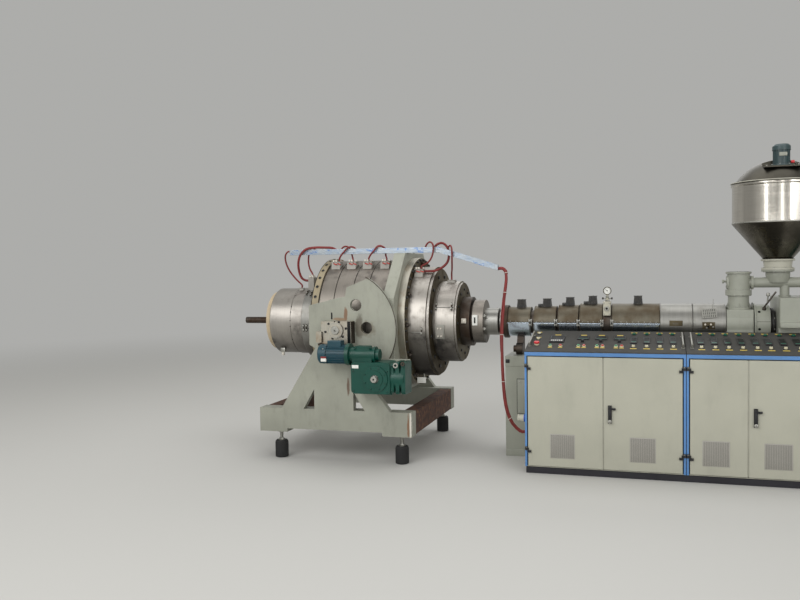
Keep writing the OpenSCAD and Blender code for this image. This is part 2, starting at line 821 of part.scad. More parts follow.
module clamp_heater() {
    r_in = outlet_neck_r + fit;
    color("silver") union() {
        turned([[clamp_heater_x0, r_in], [clamp_heater_x0, clamp_heater_r - 3],
            [clamp_heater_x0 + 3, clamp_heater_r],
            [clamp_heater_x0 + clamp_heater_l - 3, clamp_heater_r],
            [clamp_heater_x0 + clamp_heater_l, clamp_heater_r - 3],
            [clamp_heater_x0 + clamp_heater_l, r_in]]);
        // Terminal block on the operator's side of the top
        difference() {
            block([clamp_heater_x0 + 12, clamp_block_y - clamp_block_w / 2, axis_h + clamp_block_foot],
                [clamp_heater_x0 + clamp_heater_l - 12, clamp_block_y + clamp_block_w / 2,
                    axis_h + clamp_block_top]);
            rod(clamp_heater_x0, clamp_heater_l, clamp_heater_r - 8);
        }
    }
}

module die_front_flange() {
    color("burlywood") turned([[clamp_heater_x0, 0], [clamp_heater_x0, outlet_neck_r],
        [front_flange_x0 - 20, outlet_neck_r], [front_flange_x0, outlet_neck_r + 60],
        [front_flange_x0, die_flange_r - 4], [front_flange_x0 + 4, die_flange_r],
        [body_x0, die_flange_r], [body_x0, 0]]);
}

module die_body() {
    color("gray") turned([[body_x0, 0], [body_x0, die_body_r], [saddle_x0, die_body_r], [saddle_x0, 0]]);
}

// Seams between the heater bands, measured from the front flange
heater_seams = [0, 0.218, 0.475, 0.695, 1];

module die_heaters() {
    seam = 5;
    color("silver") for (i = [0 : 3])
        band(body_x0 + heater_seams[i] * die_body_l + seam / 2,
            (heater_seams[i + 1] - heater_seams[i]) * die_body_l - seam, heater_r, die_body_r + fit);
}

// Box over a band of radius r at x, sloping in towards its lid; y is its middle
module ring_terminal(x, half_l, r, y, foot, box_h, half_foot = 45) {
    half_lid = half_foot - 13;
    top = axis_h + sqrt(r * r - pow(min(abs(y - half_foot), abs(y + half_foot)), 2)) + box_h;
    difference() {
        union() {
            cross_plate(x - half_l, x + half_l)
                polygon([[y - half_foot, axis_h + foot], [y + half_foot, axis_h + foot],
                [y + half_lid, top], [y - half_lid, top]]);
            block([x - half_l - 3, y - half_lid - 4, top], [x + half_l + 3, y + half_lid + 4, top + 4]);
        }
        rod(x - half_l - 1, 2 * half_l + 2, r + fit);
    }
}

// How far the terminals of the bands sit from the middle
terminal_y = -215;

module die_terminals() {
    color("lightgray") {
        for (i = [0 : 3])
            ring_terminal(body_x0 + (heater_seams[i] + heater_seams[i + 1]) / 2 * die_body_l, 38,
                heater_r, terminal_y, 430, 19);
        ring_terminal(ring_a_x0 + 42, 35, ring_a_r, terminal_y, 360, 14);
        ring_terminal(ring_b_x0 + 100, 30, ring_b_r, -50, 300, 8);
        ring_terminal(outlet_x0 + 224, 18, outlet_r + 4, -90, 250, 6, 24);
    }
}

saddle_top = 565;

module saddle_plate() {
    top = saddle_top;
    low = -545;
    half_top = 273;
    half_wide = stand_y - frame_t - sector_t;
    color("darkseagreen") cross_plate(saddle_x0, rear_flange_x0) polygon([
        [-half_top, axis_h + top], [half_top, axis_h + top], [half_wide, axis_h + 215],
        [half_wide, axis_h - 260], [half_top + 40, axis_h + low], [-half_top - 40, axis_h + low],
        [-half_wide, axis_h - 260], [-half_wide, axis_h + 215]]);
}

module die_rear_flange() {
    color("darkslategray") turned([[rear_flange_x0, 0], [rear_flange_x0, die_flange_r],
        [ring_a_x0 - 4, die_flange_r], [ring_a_x0, die_flange_r - 4], [ring_a_x0, 0]]);
}

module die_ring_a() {
    color("silver") turned([[ring_a_x0, 0], [ring_a_x0, ring_a_r], [ring_b_x0 - 22, ring_a_r],
        [ring_b_x0 - 22, ring_a_r - 16], [ring_b_x0, ring_a_r - 16], [ring_b_x0, 0]]);
}

module die_ring_b() {
    color("silver") turned([[ring_b_x0, 0], [ring_b_x0, ring_b_r - 14], [ring_b_x0 + 20, ring_b_r - 14],
        [ring_b_x0 + 20, ring_b_r], [adapter_x0 - 16, ring_b_r], [adapter_x0 - 16, ring_b_r - 12],
        [adapter_x0, ring_b_r - 12], [adapter_x0, 0]]);
}

module die_adapter() {
    color("dimgray") turned([[adapter_x0, 0], [adapter_x0, adapter_r], [adapter_x0 + adapter_l, adapter_r],
        [adapter_x0 + adapter_l, 150], [clamp_x0, 150], [clamp_x0, clamp_r], [clamp_x0 + clamp_l, clamp_r],
        [clamp_x0 + clamp_l, neck_r], [barrel_x0 - 44, neck_r], [barrel_x0 - 34, neck_waist_r],
        [barrel_x0, neck_waist_r], [barrel_x0, 0]]);
}

// Outline of the sector plate in X-Z
module sector_outline() {
    shoulder = 150;
    difference() {
        union() {
            intersection() {
                translate([trunnion_x, axis_h - trunnion_drop]) circle(r = sector_r, $fn = 144);
                polygon([[trunnion_x, axis_h - 30], [trunnion_x + 60, axis_h + 300],
                    [trunnion_x + 262, axis_h + 378],
                    [trunnion_x + 800, axis_h + 378], [trunnion_x + 800, axis_h - 262],
                    [trunnion_x + 60, axis_h - 262]]);
            }
            // Arm that reaches back to the front flange
            polygon([[body_x0 - 20, axis_h - shoulder], [body_x0 - 20, axis_h + 160],
                [trunnion_x - 30, axis_h + 215],
                [trunnion_x + 56, axis_h + 230], [trunnion_x + 74, axis_h + 278],
                [trunnion_x + 180, axis_h + 310],
                [trunnion_x + 180, axis_h - 262], [trunnion_x - 60, axis_h - 262]]);
        }
        translate([trunnion_x + 135, axis_h + 162]) circle(r = 46);
        translate([trunnion_x + 220, axis_h - 14]) circle(r = 46);
    }
}

module sector_plates() {
    y1 = -stand_y + frame_t + sector_t;
    hub_r = 105;
    color("darkseagreen") both_sides() union() {
        side_plate(y1 - sector_t, y1) sector_outline();
        // Hub that joins the plate to the die body
        difference() {
            translate([trunnion_x, -die_body_r + 90, axis_h - trunnion_drop]) rotate([90, 0, 0])
                cylinder(h = -y1 - die_body_r + 91, r = hub_r);
            rod(body_x0, die_body_l, heater_r + fit);
        }
    }
}

block_low = 130;

module trunnion_blocks() {
    block_l = 120;
    block_r = 125;
    block_h = 42;
    proud = 26;
    cap_r = 62;
    hub_r = 34;
    y0 = -stand_y - proud;
    y1 = -stand_y + frame_t;
    axis_z = axis_h - trunnion_drop;
    color("silver") both_sides() {
        union() {
            side_plate(y0, y1) difference() {
                rounded([trunnion_x - block_l, axis_h - block_low],
                    [trunnion_x + block_r, axis_h + block_h], 8);
                // Slot over the cap
                translate([trunnion_x - 14, axis_h + block_h - 20]) square([10, 30]);
            }
            // Round cap with the trunnion's end
            translate([trunnion_x, y0, axis_z]) rotate([90, 0, 0]) cylinder(h = 14, r = cap_r);
            translate([trunnion_x, y0 - 14, axis_z]) rotate([90, 0, 0]) cylinder(h = 6, r = hub_r);
            // Raised stop at the lower left corner
            side_plate(y0 - 22, y0) rounded([trunnion_x - block_l - 36, axis_h - block_low + 8],
                [trunnion_x - block_l + 10, axis_h - block_low + 94], 6);
            side_plate(y0, y1) translate([trunnion_x - block_l - 36, axis_h - block_low + 8])
                square([40, 86]);
        }
    }
}

// Outline of a side frame above the base beam, in X-Z
module frame_outline() {
    post_l = trunnion_x - 160;
    post_r = trunnion_x + 125;
    top = axis_h - block_low;
    difference() {
        polygon([[trunnion_x - 480, beam_top], [post_l, top], [post_r, top], [post_r, axis_h - 252],
            [trunnion_x + 420, beam_top]]);
        polygon([[trunnion_x - 292, beam_top + 1], [trunnion_x - 200, beam_top + 1],
            [trunnion_x - 200, beam_top + 158]]);
        polygon([[post_r, beam_top + 1], [post_r + 92, beam_top + 1], [post_r, beam_top + 150]]);
    }
}

plate_t = 16;
reducer_x = trunnion_x + reducer_right;
reducer_z = axis_h - reducer_drop;
reducer_face = -stand_y - plate_t;
reducer_front = reducer_face - reducer_d;
beam_left = trunnion_x - beam_reach_left;
beam_right = trunnion_x + beam_reach_right;
pad_l = 235;

module stand_frames() {
    color("darkseagreen") both_sides() union() {
        block([beam_left, -stand_y, beam_low], [beam_right, -stand_y + beam_d, beam_top]);
        for (x = [beam_left, beam_right - pad_l])
            block([x, -stand_y, pad_low], [x + pad_l, -stand_y + beam_d, beam_low + 1]);
        side_plate(-stand_y, -stand_y + frame_t) union() {
            frame_outline();
            translate([trunnion_x - 480, beam_top - 10]) square([900, 11]);
        }
    }
}

module stand_beams() {
    y = stand_y - beam_d;
    color("saddlebrown") for (x = [beam_left, beam_right - 100])
        block([x, -y, pad_low + 4], [x + 100, y, beam_top - 6]);
}

module reducer_plate() {
    color("darkseagreen") side_plate(reducer_face, -stand_y)
        rounded([reducer_x - 204, reducer_z - 126], [reducer_x + 216, reducer_z + 128], 10);
}

module jack_feet() {
    color("#222222") both_sides() for (x = [beam_left + 158, beam_right - 95]) {
        upright([[0, 0], [foot_r - 4, 0], [foot_r, 6], [foot_r, foot_h - 8], [foot_r - 8, foot_h],
            [12, foot_h],
            [12, pad_low], [0, pad_low]], x, -stand_y + beam_d / 2);
    }
}

// Middle of the worm housing behind the reducer's front
worm_back = 105;

module worm_reducer() {
    y0 = reducer_front + 26;
    gear_y = reducer_front + worm_back;
    gear_z = reducer_z + brake_up;
    ribs = [[112, 24, 112], [152, 26, 124], [196, 30, 124]];
    color("seagreen") difference() {
        union() {
            // Wheel housing with its round bearing cover
            side_plate(y0, reducer_face) rounded([reducer_x - 190, reducer_z - 112],
                [reducer_x + 112, reducer_z + 120], 26);
            side_plate(y0 + 60, reducer_face) rounded([reducer_x - 190, reducer_z - 124],
                [reducer_x + 112, reducer_z], 6);
            translate([reducer_x, y0, reducer_z]) rotate([90, 0, 0]) cylinder(h = 12, r = 96);
            translate([reducer_x, y0 - 12, reducer_z]) rotate([90, 0, 0]) cylinder(h = 6, r = 62);
            // Ribs and the end cover on the right
            rod(reducer_x + 111, 100, 84, reducer_z, (y0 + reducer_face) / 2);
            for (rib = ribs) cross_plate(reducer_x + rib[0], reducer_x + rib[0] + rib[1])
                rounded([y0 + 16, reducer_z - rib[2] + 10], [reducer_face - 4, reducer_z + rib[2]], 20);
            // Worm housing on top, with its bearing cap and motor flange
            side_plate(gear_y - 52, reducer_face) rounded([reducer_x - 190, reducer_z + 60],
                [reducer_x - 36, gear_z + 8], 12);
            rod(reducer_x - 217, 190, 56, gear_z, gear_y);
            rod(reducer_x - 28, 14, 62, gear_z, gear_y);
            rod(reducer_x - 14, 28, 44, gear_z, gear_y);
            rod(reducer_x - 245, 29, brake_r + 8, gear_z, gear_y);
            side_plate(gear_y - 36, gear_y + 36) rounded([reducer_x - 170, gear_z + 20],
                [reducer_x - 60, gear_z + 66], 8);
        }
        // Bore of the hollow output shaft
        translate([reducer_x, y0 + 60, reducer_z]) rotate([90, 0, 0]) cylinder(h = 90, r = 30 + fit);
    }
}

module reducer_shaft() {
    y0 = reducer_front;
    color("silver") translate([reducer_x, y0 + 85, reducer_z]) rotate([90, 0, 0]) difference() {
        union() {
            cylinder(h = 85, r = 30 - 4);
            cylinder(h = 70, r = 30);
        }
        translate([0, 0, 40]) cylinder(h = 50, r = 14);
    }
}

module brake_motor() {
    x1 = reducer_x - 245;
    cowl_l = 66;
    gear_z = reducer_z + brake_up;
    gear_y = reducer_front + worm_back;
    color("darkcyan") union() {
        translate([x1 - brake_l + cowl_l, gear_y, gear_z]) rotate([0, 90, 0])
            finned(brake_l - cowl_l, brake_r, 9, 20);
        // Fan cowl with a rounded end
        translate([x1 - brake_l, gear_y, gear_z]) rotate([0, 90, 0]) rotate_extrude()
            polygon([[0, 0], [brake_r - 8, 0], [brake_r - 1, 8], [brake_r - 1, cowl_l], [0, cowl_l]]);
        // Terminal box on top
        cross_plate(x1 - brake_l + 74, x1 - 40)
            rounded([gear_y - 38, gear_z + brake_r - 24], [gear_y + 38, gear_z + brake_r + 30], 8);
    }
}

tray_y = -190;
tray_w = 50;
tray_h = 44;
tray_t = 3;
tray_drop = 150;
tray_z = axis_h + saddle_top;
tray_x0 = outlet_x0 + 170;
tray_knee_x = rear_flange_x0 + 260;
tray_x1 = cover_1_x0 - 55;

// Height of the tray's underside: level over the die, then sloping down
function tray_low(x) = tray_z - max(0, x - tray_knee_x) / (tray_x1 - tray_knee_x) * tray_drop;

// Outline in X-Z of what follows the tray from x0 to x1, low to high above its underside
module tray_run(x0, x1, low, high) {
    polygon([[x0, tray_low(x0) + low], [tray_knee_x, tray_z + low], [x1, tray_low(x1) + low],
        [x1, tray_low(x1) + high], [tray_knee_x, tray_z + high], [x0, tray_low(x0) + high]]);
}

module cable_tray() {
    // An open channel of folded sheet
    color("lightsteelblue") difference() {
        side_plate(tray_y - tray_w / 2, tray_y + tray_w / 2) tray_run(tray_x0, tray_x1, 0, tray_h);
        side_plate(tray_y - tray_w / 2 + tray_t, tray_y + tray_w / 2 - tray_t)
            tray_run(tray_x0 - 1, tray_x1 + 1, tray_t, tray_h + 1);
    }
}

module tray_wires() {
    wires_w = 30;
    wires_h = 22;
    color("firebrick") side_plate(tray_y - wires_w / 2, tray_y + wires_w / 2)
        tray_run(tray_x0 + 14, tray_x1 + 5 - fit, tray_t + fit, tray_t + wires_h);
}

// Leads from the tray to the terminals: radius, then the points that each one passes
lead_routes = [
    // Outlet
    [7, [[-3545, -187, 1648], [-3582, -186, 1645], [-3610, -178, 1610], [-3612, -160, 1550],
        [-3590, -135, 1480], [-3545, -106, 1410], [-3500, -90, 1362], [-3500, -90, 1337]]],
    // Clamp heater, the thick lead and the thin one
    [10, [[-3130, -195, 1650], [-3172, -202, 1670], [-3235, -206, 1674], [-3310, -214, 1676],
        [-3390, -232, 1664], [-3445, -234, 1615], [-3475, -212, 1550], [-3484, -180, 1480],
        [-3472, -154, 1422], [-3440, -140, 1400], [-3404, -140, 1400]]],
    [7, [[-3320, -184, 1646], [-3350, -175, 1672], [-3382, -158, 1670], [-3404, -146, 1630],
        [-3412, -144, 1560], [-3402, -141, 1500], [-3378, -140, 1455], [-3378, -140, 1425]]],
    // The four heater bands
    [7, [[-2950, -195, 1646], [-2982, -206, 1673], [-3017, -226, 1670], [-3048, -238, 1638],
        [-3080, -234, 1604], [-3100, -220, 1576], [-3100, -220, 1554]]],
    [7, [[-3105, -185, 1646], [-3076, -175, 1678], [-3044, -156, 1675], [-3020, -150, 1632],
        [-3005, -168, 1598], [-2988, -200, 1576], [-2988, -200, 1554]]],
    [7, [[-2695, -195, 1646], [-2727, -206, 1673], [-2762, -226, 1670], [-2792, -238, 1638],
        [-2822, -234, 1604], [-2842, -220, 1576], [-2842, -220, 1554]]],
    [7, [[-2805, -185, 1646], [-2776, -175, 1678], [-2744, -156, 1675], [-2722, -150, 1632],
        [-2711, -168, 1598], [-2694, -200, 1576], [-2694, -200, 1554]]],
    // Large ring, the thin lead and the thick one
    [7, [[-2372, -195, 1646], [-2352, -204, 1682], [-2322, -220, 1700], [-2294, -236, 1682],
        [-2288, -242, 1638], [-2302, -240, 1580], [-2336, -234, 1535], [-2392, -222, 1508],
        [-2392, -222, 1485]]],
    [10, [[-2300, -186, 1648], [-2270, -178, 1682], [-2230, -160, 1690], [-2195, -146, 1655],
        [-2184, -144, 1600], [-2192, -156, 1540], [-2230, -182, 1495], [-2290, -203, 1468],
        [-2340, -205, 1466], [-2375, -205, 1466]]],
    // Small ring
    [7, [[-2190, -195, 1626], [-2172, -204, 1658], [-2152, -222, 1668], [-2138, -238, 1642],
        [-2138, -234, 1590], [-2146, -200, 1530], [-2160, -142, 1480], [-2176, -88, 1450],
        [-2184, -55, 1420], [-2184, -55, 1392]]]
];
// The bunch of cables from the tray's end down to the gland
bundle_r = 15;
bundle_route = [
    [-1770, -187, 1479], [-1742, -187, 1479], [-1718, -194, 1458], [-1708, -208, 1422], [-1706, -230, 1370],
    [-1712, -262, 1290], [-1718, -298, 1190], [-1722, -330, 1080], [-1722, -360, 970], [-1718, -388, 860],
    [-1711, -415, 740], [-1702, -435, 620], [-1690, -448, 500], [-1668, -453, 390], [-1628, -452, 305],
    [-1572, -450, 252], [-1540, -450, 250], [-1512, -450, 250]
];

function unit(v) = v / norm(v);
// Direction of a route at each of its points
function along(route) = [for (i = [0 : len(route) - 1])
    unit(route[min(i + 1, len(route) - 1)] - route[max(i - 1, 0)])];
// A sideways direction at each point, carried along so that the tube doesn't twist
function sideways(way, last, i = 0) = i == len(way) ? []
    : let(side = unit(last - (last * way[i]) * way[i])) concat([side], sideways(way, side, i + 1));

// A round tube swept along a route
module tube(route, r) {
    sides = 8;
    last = len(route) - 1;
    way = along(route);
    side = sideways(way, [0, 1, 0.2]);
    rings = [for (i = [0 : last], k = [0 : sides - 1])
        route[i] + r * (cos(k * 360 / sides) * side[i] + sin(k * 360 / sides) * cross(way[i], side[i]))];
    walls = [for (i = [0 : last - 1], k = [0 : sides - 1]) let(a = i * sides, b = (k + 1) % sides)
        [a + k, a + sides + k, a + sides + b, a + b]];
    polyhedron(rings, concat(walls, [[for (k = [0 : sides - 1]) k],
        [for (k = [sides - 1 : -1 : 0]) last * sides + k]]));
}

module heater_leads() {
    color("firebrick") for (lead = lead_routes) tube(lead[1], lead[0]);
}

module cable_bundle() {
    color("firebrick") tube(bundle_route, bundle_r);
}

machine_base();
barrel();
cover_tops();
cover_trays();
steel_covers();
barrel_terminals();
barrel_blowers();
vent_port();
feed_throat();
bearing_section();
coupling();
gearbox();
drive_motor();
feed_pipe();
dosing_tube();
dosing_motor();
dosing_support();
hopper_outlet();
hopper_cone();
hopper_shell();
hopper_dome();
stirrer_motor();
plinth();
cabinet_1();
cabinet_2();
blue_trim();
consoles();
door_1();
door_2();
door_3();
door_4();
handle_1();
handle_2();
hinges();
die_mandrel();
die_lip();
die_outlet();
clamp_heater();
die_front_flange();
die_body();
die_heaters();
die_terminals();
saddle_plate();
die_rear_flange();
die_ring_a();
die_ring_b();
die_adapter();
sector_plates();
trunnion_blocks();
stand_frames();
stand_beams();
jack_feet();
reducer_plate();
worm_reducer();
reducer_shaft();
brake_motor();
cable_tray();
tray_wires();
heater_leads();
cable_bundle();
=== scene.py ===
# %% [markdown]
# This script dresses a pipe extruder: a heated barrel with its covers, a steel
# hopper, two control cabinets and a large die head on its own stand. The sizes
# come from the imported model, which is loaded first and never moved. Each piece
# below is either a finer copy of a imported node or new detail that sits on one.

# %% Load the frame
import json
import math
import bmesh
import bpy
from mathutils import Matrix, Vector


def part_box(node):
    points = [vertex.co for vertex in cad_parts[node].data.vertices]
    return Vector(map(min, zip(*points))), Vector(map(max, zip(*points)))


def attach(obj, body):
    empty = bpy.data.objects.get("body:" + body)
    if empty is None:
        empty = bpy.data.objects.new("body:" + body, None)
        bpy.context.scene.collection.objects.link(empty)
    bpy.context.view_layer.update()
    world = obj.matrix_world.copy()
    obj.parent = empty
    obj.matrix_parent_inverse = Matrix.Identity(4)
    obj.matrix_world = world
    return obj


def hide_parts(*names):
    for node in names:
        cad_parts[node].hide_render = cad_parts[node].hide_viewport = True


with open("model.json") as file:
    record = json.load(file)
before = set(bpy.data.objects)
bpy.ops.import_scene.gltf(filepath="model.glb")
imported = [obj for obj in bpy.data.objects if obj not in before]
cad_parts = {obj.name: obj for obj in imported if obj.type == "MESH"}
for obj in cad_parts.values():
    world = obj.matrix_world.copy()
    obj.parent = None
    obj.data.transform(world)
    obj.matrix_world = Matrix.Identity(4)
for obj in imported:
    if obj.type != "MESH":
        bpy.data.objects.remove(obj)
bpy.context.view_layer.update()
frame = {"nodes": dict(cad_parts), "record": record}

node_body = {n: b for b, ns in frame["record"]["behaviour"]["bodies"].items() for n in ns}
node_slot = {p["node"]: p["material_slot"] for p in frame["record"]["subparts"]}

# %% [markdown]
# The camera repeats the photograph's own view. The lens and the three turns were
# found from the lines of the room, which meet in three vanishing points. The eye
# stands 1.5 m above the floor, 6.6 m in front of the screw axis.

# %% Camera
PHOTO_W = 800
FOCAL_PX = 820.3
SENSOR_MM = 36.0
YAW, PITCH, ROLL = (math.radians(a) for a in (17.02, 2.28, 0.82))
EYE = Vector((-0.626, -6.60, 1.50))


def camera_axes(yaw, pitch, roll):
    """Right, down and forward of the camera in the machine's frame."""
    forward = Vector((-math.sin(yaw), math.cos(yaw), 0))
    right = Vector((math.cos(yaw), math.sin(yaw), 0))
    down = Vector((0, 0, -1))
    ahead = math.cos(pitch) * forward + math.sin(pitch) * down
    below = -math.sin(pitch) * forward + math.cos(pitch) * down
    side = math.cos(roll) * right + math.sin(roll) * below
    return side, -math.sin(roll) * right + math.cos(roll) * below, ahead


side, below, ahead = camera_axes(YAW, PITCH, ROLL)
lens = bpy.data.cameras.new("camera")
lens.sensor_width = SENSOR_MM
lens.lens = FOCAL_PX / PHOTO_W * SENSOR_MM
camera = bpy.data.objects.new("camera", lens)
camera.matrix_world = Matrix((
    (side.x, -below.x, -ahead.x, EYE.x),
    (side.y, -below.y, -ahead.y, EYE.y),
    (side.z, -below.z, -ahead.z, EYE.z),
    (0, 0, 0, 1)))
bpy.context.scene.collection.objects.link(camera)
bpy.context.scene.camera = camera
print("lens in mm:", round(lens.lens, 2))

# %% [markdown]
# Paint, steel and rust are made of shader nodes. Their sums read best as plain
# arithmetic, so a socket is wrapped in a small class that knows plus, minus and
# times. All other nodes come from one method, which is easier to follow than a
# page of links.

# %% Shader arithmetic
class Flow:
    """A shader socket that takes part in Python arithmetic."""

    def __init__(self, bench, socket):
        self.bench = bench
        self.socket = socket

    def maths(self, operation, *values):
        return self.bench.node("ShaderNodeMath", {"operation": operation}, values)

    def __add__(self, other):
        return self.maths("ADD", self, other)

    def __sub__(self, other):
        return self.maths("SUBTRACT", self, other)

    def __rsub__(self, other):
        return self.maths("SUBTRACT", other, self)

    def __mul__(self, other):
        return self.maths("MULTIPLY", self, other)

    def over(self, edge, soft):
        """1 where the value is above edge, 0 below it, with a soft step between."""
        settings = {"interpolation_type": "SMOOTHSTEP"}
        return self.bench.node("ShaderNodeMapRange", settings, {0: self, 1: edge - soft, 2: edge + soft})

    __radd__ = __add__


class Bench:
    """The node tree of one finish."""

    def __init__(self, name):
        self.name = name
        self.material = bpy.data.materials.new(name)
        self.material.use_nodes = True
        self.tree = self.material.node_tree
        self.shader = self.tree.nodes["Principled BSDF"]

    def node(self, kind, settings=None, inputs=(), output=0):
        made = self.tree.nodes.new(kind)
        for key, value in (settings or {}).items():
            if key == "stops":
                while len(made.color_ramp.elements) < len(value):
                    made.color_ramp.elements.new(0.5)
                for stop, (position, colour) in zip(made.color_ramp.elements, value):
                    stop.position, stop.color = position, (*colour, 1)
            else:
                setattr(made, key, value)
        pairs = inputs.items() if isinstance(inputs, dict) else enumerate(inputs)
        for key, value in pairs:
            self.feed(made.inputs[key], value)
        return Flow(self, made.outputs[output])

    def feed(self, socket, value):
        if isinstance(value, Flow):
            self.tree.links.new(value.socket, socket)
        else:
            socket.default_value = value

    def finish(self, **values):
        """Sets the shader's sockets, such as Base_Color=..., and keeps the material under its name."""
        for key, value in values.items():
            if key == "Base_Color" and not isinstance(value, Flow):
                value = (*value, 1)
            self.feed(self.shader.inputs[key.replace("_", " ")], value)
        finishes[self.name] = self.material


finishes = {}
print("shader sums ready:", Flow.__name__, Bench.__name__)

# %% [markdown]
# The finishes share a few patterns. Noise gives soft patches, and noise pulled
# long in one direction gives brush marks or runs. The Bevel node tells an edge
# from a flat, which is where paint wears off first.

# %% Shared patterns
def tone(red, green, blue):
    """A colour written as on a screen, from 0 to 255, as the linear values a shader needs."""
    shares = (channel / 255 for channel in (red, green, blue))
    return tuple(s / 12.92 if s <= 0.04045 else ((s + 0.055) / 1.055) ** 2.4 for s in shares)


def scaled(colour, by):
    """A darker or lighter tone of a colour."""
    return tuple(min(1, c * by) for c in colour)


def spread(bench, stretch=(1, 1, 1), centre=(0, 0, 0)):
    """The place on the machine in metres, pulled by stretch about centre."""
    here = bench.node("ShaderNodeTexCoord", output="Object")
    shift = tuple(-c * s for c, s in zip(centre, stretch))
    return bench.node("ShaderNodeMapping", None, {"Vector": here, "Location": shift, "Scale": stretch})


def patches(bench, scale, detail=3.0, roughness=0.55, stretch=(1, 1, 1), distortion=0.0):
    inputs = {"Vector": spread(bench, stretch), "Scale": scale, "Detail": detail,
              "Roughness": roughness, "Distortion": distortion}
    return bench.node("ShaderNodeTexNoise", None, inputs)


MIX_COLOURS, MIX_RESULT = (6, 7), 2  # the Mix node's sockets for colours


def mixed(bench, factor, *colours):
    """Two colours blended by factor."""
    inputs = {0: factor}
    for index, colour in zip(MIX_COLOURS, colours):
        inputs[index] = colour if isinstance(colour, Flow) else (*colour, 1)
    return bench.node("ShaderNodeMix", {"data_type": "RGBA", "clamp_factor": True}, inputs, MIX_RESULT)


def ramped(bench, factor, *stops):
    """Colours at given places of factor, in order."""
    return bench.node("ShaderNodeValToRGB", {"stops": stops}, (factor,))


def height_of(bench):
    """Height above the floor in metres."""
    here = bench.node("ShaderNodeTexCoord", output="Object")
    return bench.node("ShaderNodeSeparateXYZ", None, (here,), output=2)


def bumps(bench, height, strength=0.2, distance=0.001):
    return bench.node("ShaderNodeBump", None, {"Strength": strength, "Distance": distance, "Height": height})


def edge_wear(bench):
    """1 along edges and 0 on flats."""
    rounded = bench.node("ShaderNodeBevel", {"samples": 4}, {"Radius": 0.003})
    plain = bench.node("ShaderNodeNewGeometry", output="Normal")
    alike = bench.node("ShaderNodeVectorMath", {"operation": "DOT_PRODUCT"}, (rounded, plain), output="Value")
    return (1 - alike).over(0.06, 0.05)


def distance(bench, centre, reach=(1, 1, 1)):
    """Distance from a point, counted in reaches along x, y and z."""
    pulled = spread(bench, tuple(1 / r for r in reach), centre)
    return bench.node("ShaderNodeVectorMath", {"operation": "LENGTH"}, (pulled,), output="Value")


print("paint sample, linear:", [round(c, 3) for c in tone(165, 168, 150)])

# %% [markdown]
# Most of the machine is sheet metal and casting under an even coat of paint. A
# real coat is never one flat colour: it has faint clouds, dirt that gathers low
# down, a fine orange-peel surface and bare edges where it was knocked.

# %% Painted steel
def stain(bench, centre, reach):
    """A ragged patch round one point, 1 in the middle and 0 outside its reach along x, y and z."""
    return (1 - distance(bench, centre, reach) + (patches(bench, 24, 5) - 0.5)).over(0.35, 0.2)


def painted(name, shade, rough, clouds, grime, chip=(0.10, 0.09, 0.08), worn=0.7, stains=(), coat=0.12, shine=0.42):
    bench, colour = Bench(name), tone(*shade)
    skin = ramped(bench, patches(bench, 3.1, 5), (0.30, scaled(colour, 1 - clouds * 2.2)), (0.55, colour),
                  (0.75, scaled(colour, 1 + clouds)))
    dirt = patches(bench, 9, 6, 0.65, (1, 1, 0.35)).over(0.60, 0.12) * grime
    low = (0.42 - height_of(bench)).over(0.06, 0.22) * grime
    skin = mixed(bench, dirt + low, skin, scaled(colour, 0.42))
    for centre, reach, mark in stains:
        skin = mixed(bench, stain(bench, centre, reach) * 0.8, skin, mark)
    bare = edge_wear(bench) * patches(bench, 40, 3).over(0.52, 0.06) * worn
    skin = mixed(bench, bare, skin, chip)
    dull = patches(bench, 14, 4) * 0.22 + (rough - 0.11) + dirt * 0.25
    bench.finish(Base_Color=skin, Roughness=dull, Coat_Weight=coat, Coat_Roughness=0.25, Specular_IOR_Level=shine,
                 Normal=bumps(bench, patches(bench, 420, 2), 0.05, 0.0004))


RUST = tone(120, 78, 44)
STAND_MARKS = (  # place, reach and tone of each mark
    ((-2.893, -0.640, 1.142), (0.022, 0.12, 0.085), RUST),
    ((-2.945, -0.640, 1.102), (0.075, 0.12, 0.018), tone(140, 112, 84)),
    ((-2.780, -0.650, 1.044), (0.050, 0.12, 0.130), tone(92, 84, 70)),
    ((-2.720, -0.650, 1.034), (0.090, 0.12, 0.090), tone(118, 112, 96)),
    ((-2.380, -0.700, 0.300), (0.014, 0.10, 0.130), RUST),
    ((-2.363, -0.700, 0.310), (0.012, 0.10, 0.150), tone(222, 216, 204)),
    ((-2.860, -0.700, 0.580), (0.016, 0.12, 0.100), tone(96, 66, 46)))
painted("machine_paint", (154, 156, 144), 0.40, 0.06, 0.22)
painted("cabinet_paint", (174, 173, 158), 0.40, 0.03, 0.10, worn=0.3)
painted("blue_paint", (84, 132, 188), 0.38, 0.06, 0.12, tone(150, 152, 150))
painted("console_grey", (70, 69, 66), 0.70, 0.07, 0.10, tone(96, 95, 90), coat=0.0, shine=0.2)
painted("plinth_black", (46, 45, 50), 0.60, 0.10, 0.20, tone(90, 88, 86), shine=0.25)
painted("stand_paint", (156, 157, 144), 0.48, 0.08, 0.30, stains=STAND_MARKS)
painted("green_paint", (8, 70, 58), 0.38, 0.12, 0.25, tone(60, 70, 64), shine=0.3)
painted("teal_paint", (34, 72, 84), 0.40, 0.12, 0.25, tone(80, 90, 94), shine=0.3)
painted("motor_blue", (56, 76, 78), 0.40, 0.10, 0.20)
painted("vent_block", (196, 192, 174), 0.45, 0.06, 0.25)
painted("terminal_box", (46, 45, 43), 0.50, 0.15, 0.30, tone(110, 100, 86))
painted("terminal_plate", (158, 154, 146), 0.50, 0.10, 0.30)
painted("tan_rim", (150, 138, 112), 0.52, 0.18, 0.40, tone(92, 76, 56))
painted("outlet_cream", (186, 184, 170), 0.45, 0.05, 0.15)
print("painted finishes:", len(finishes))

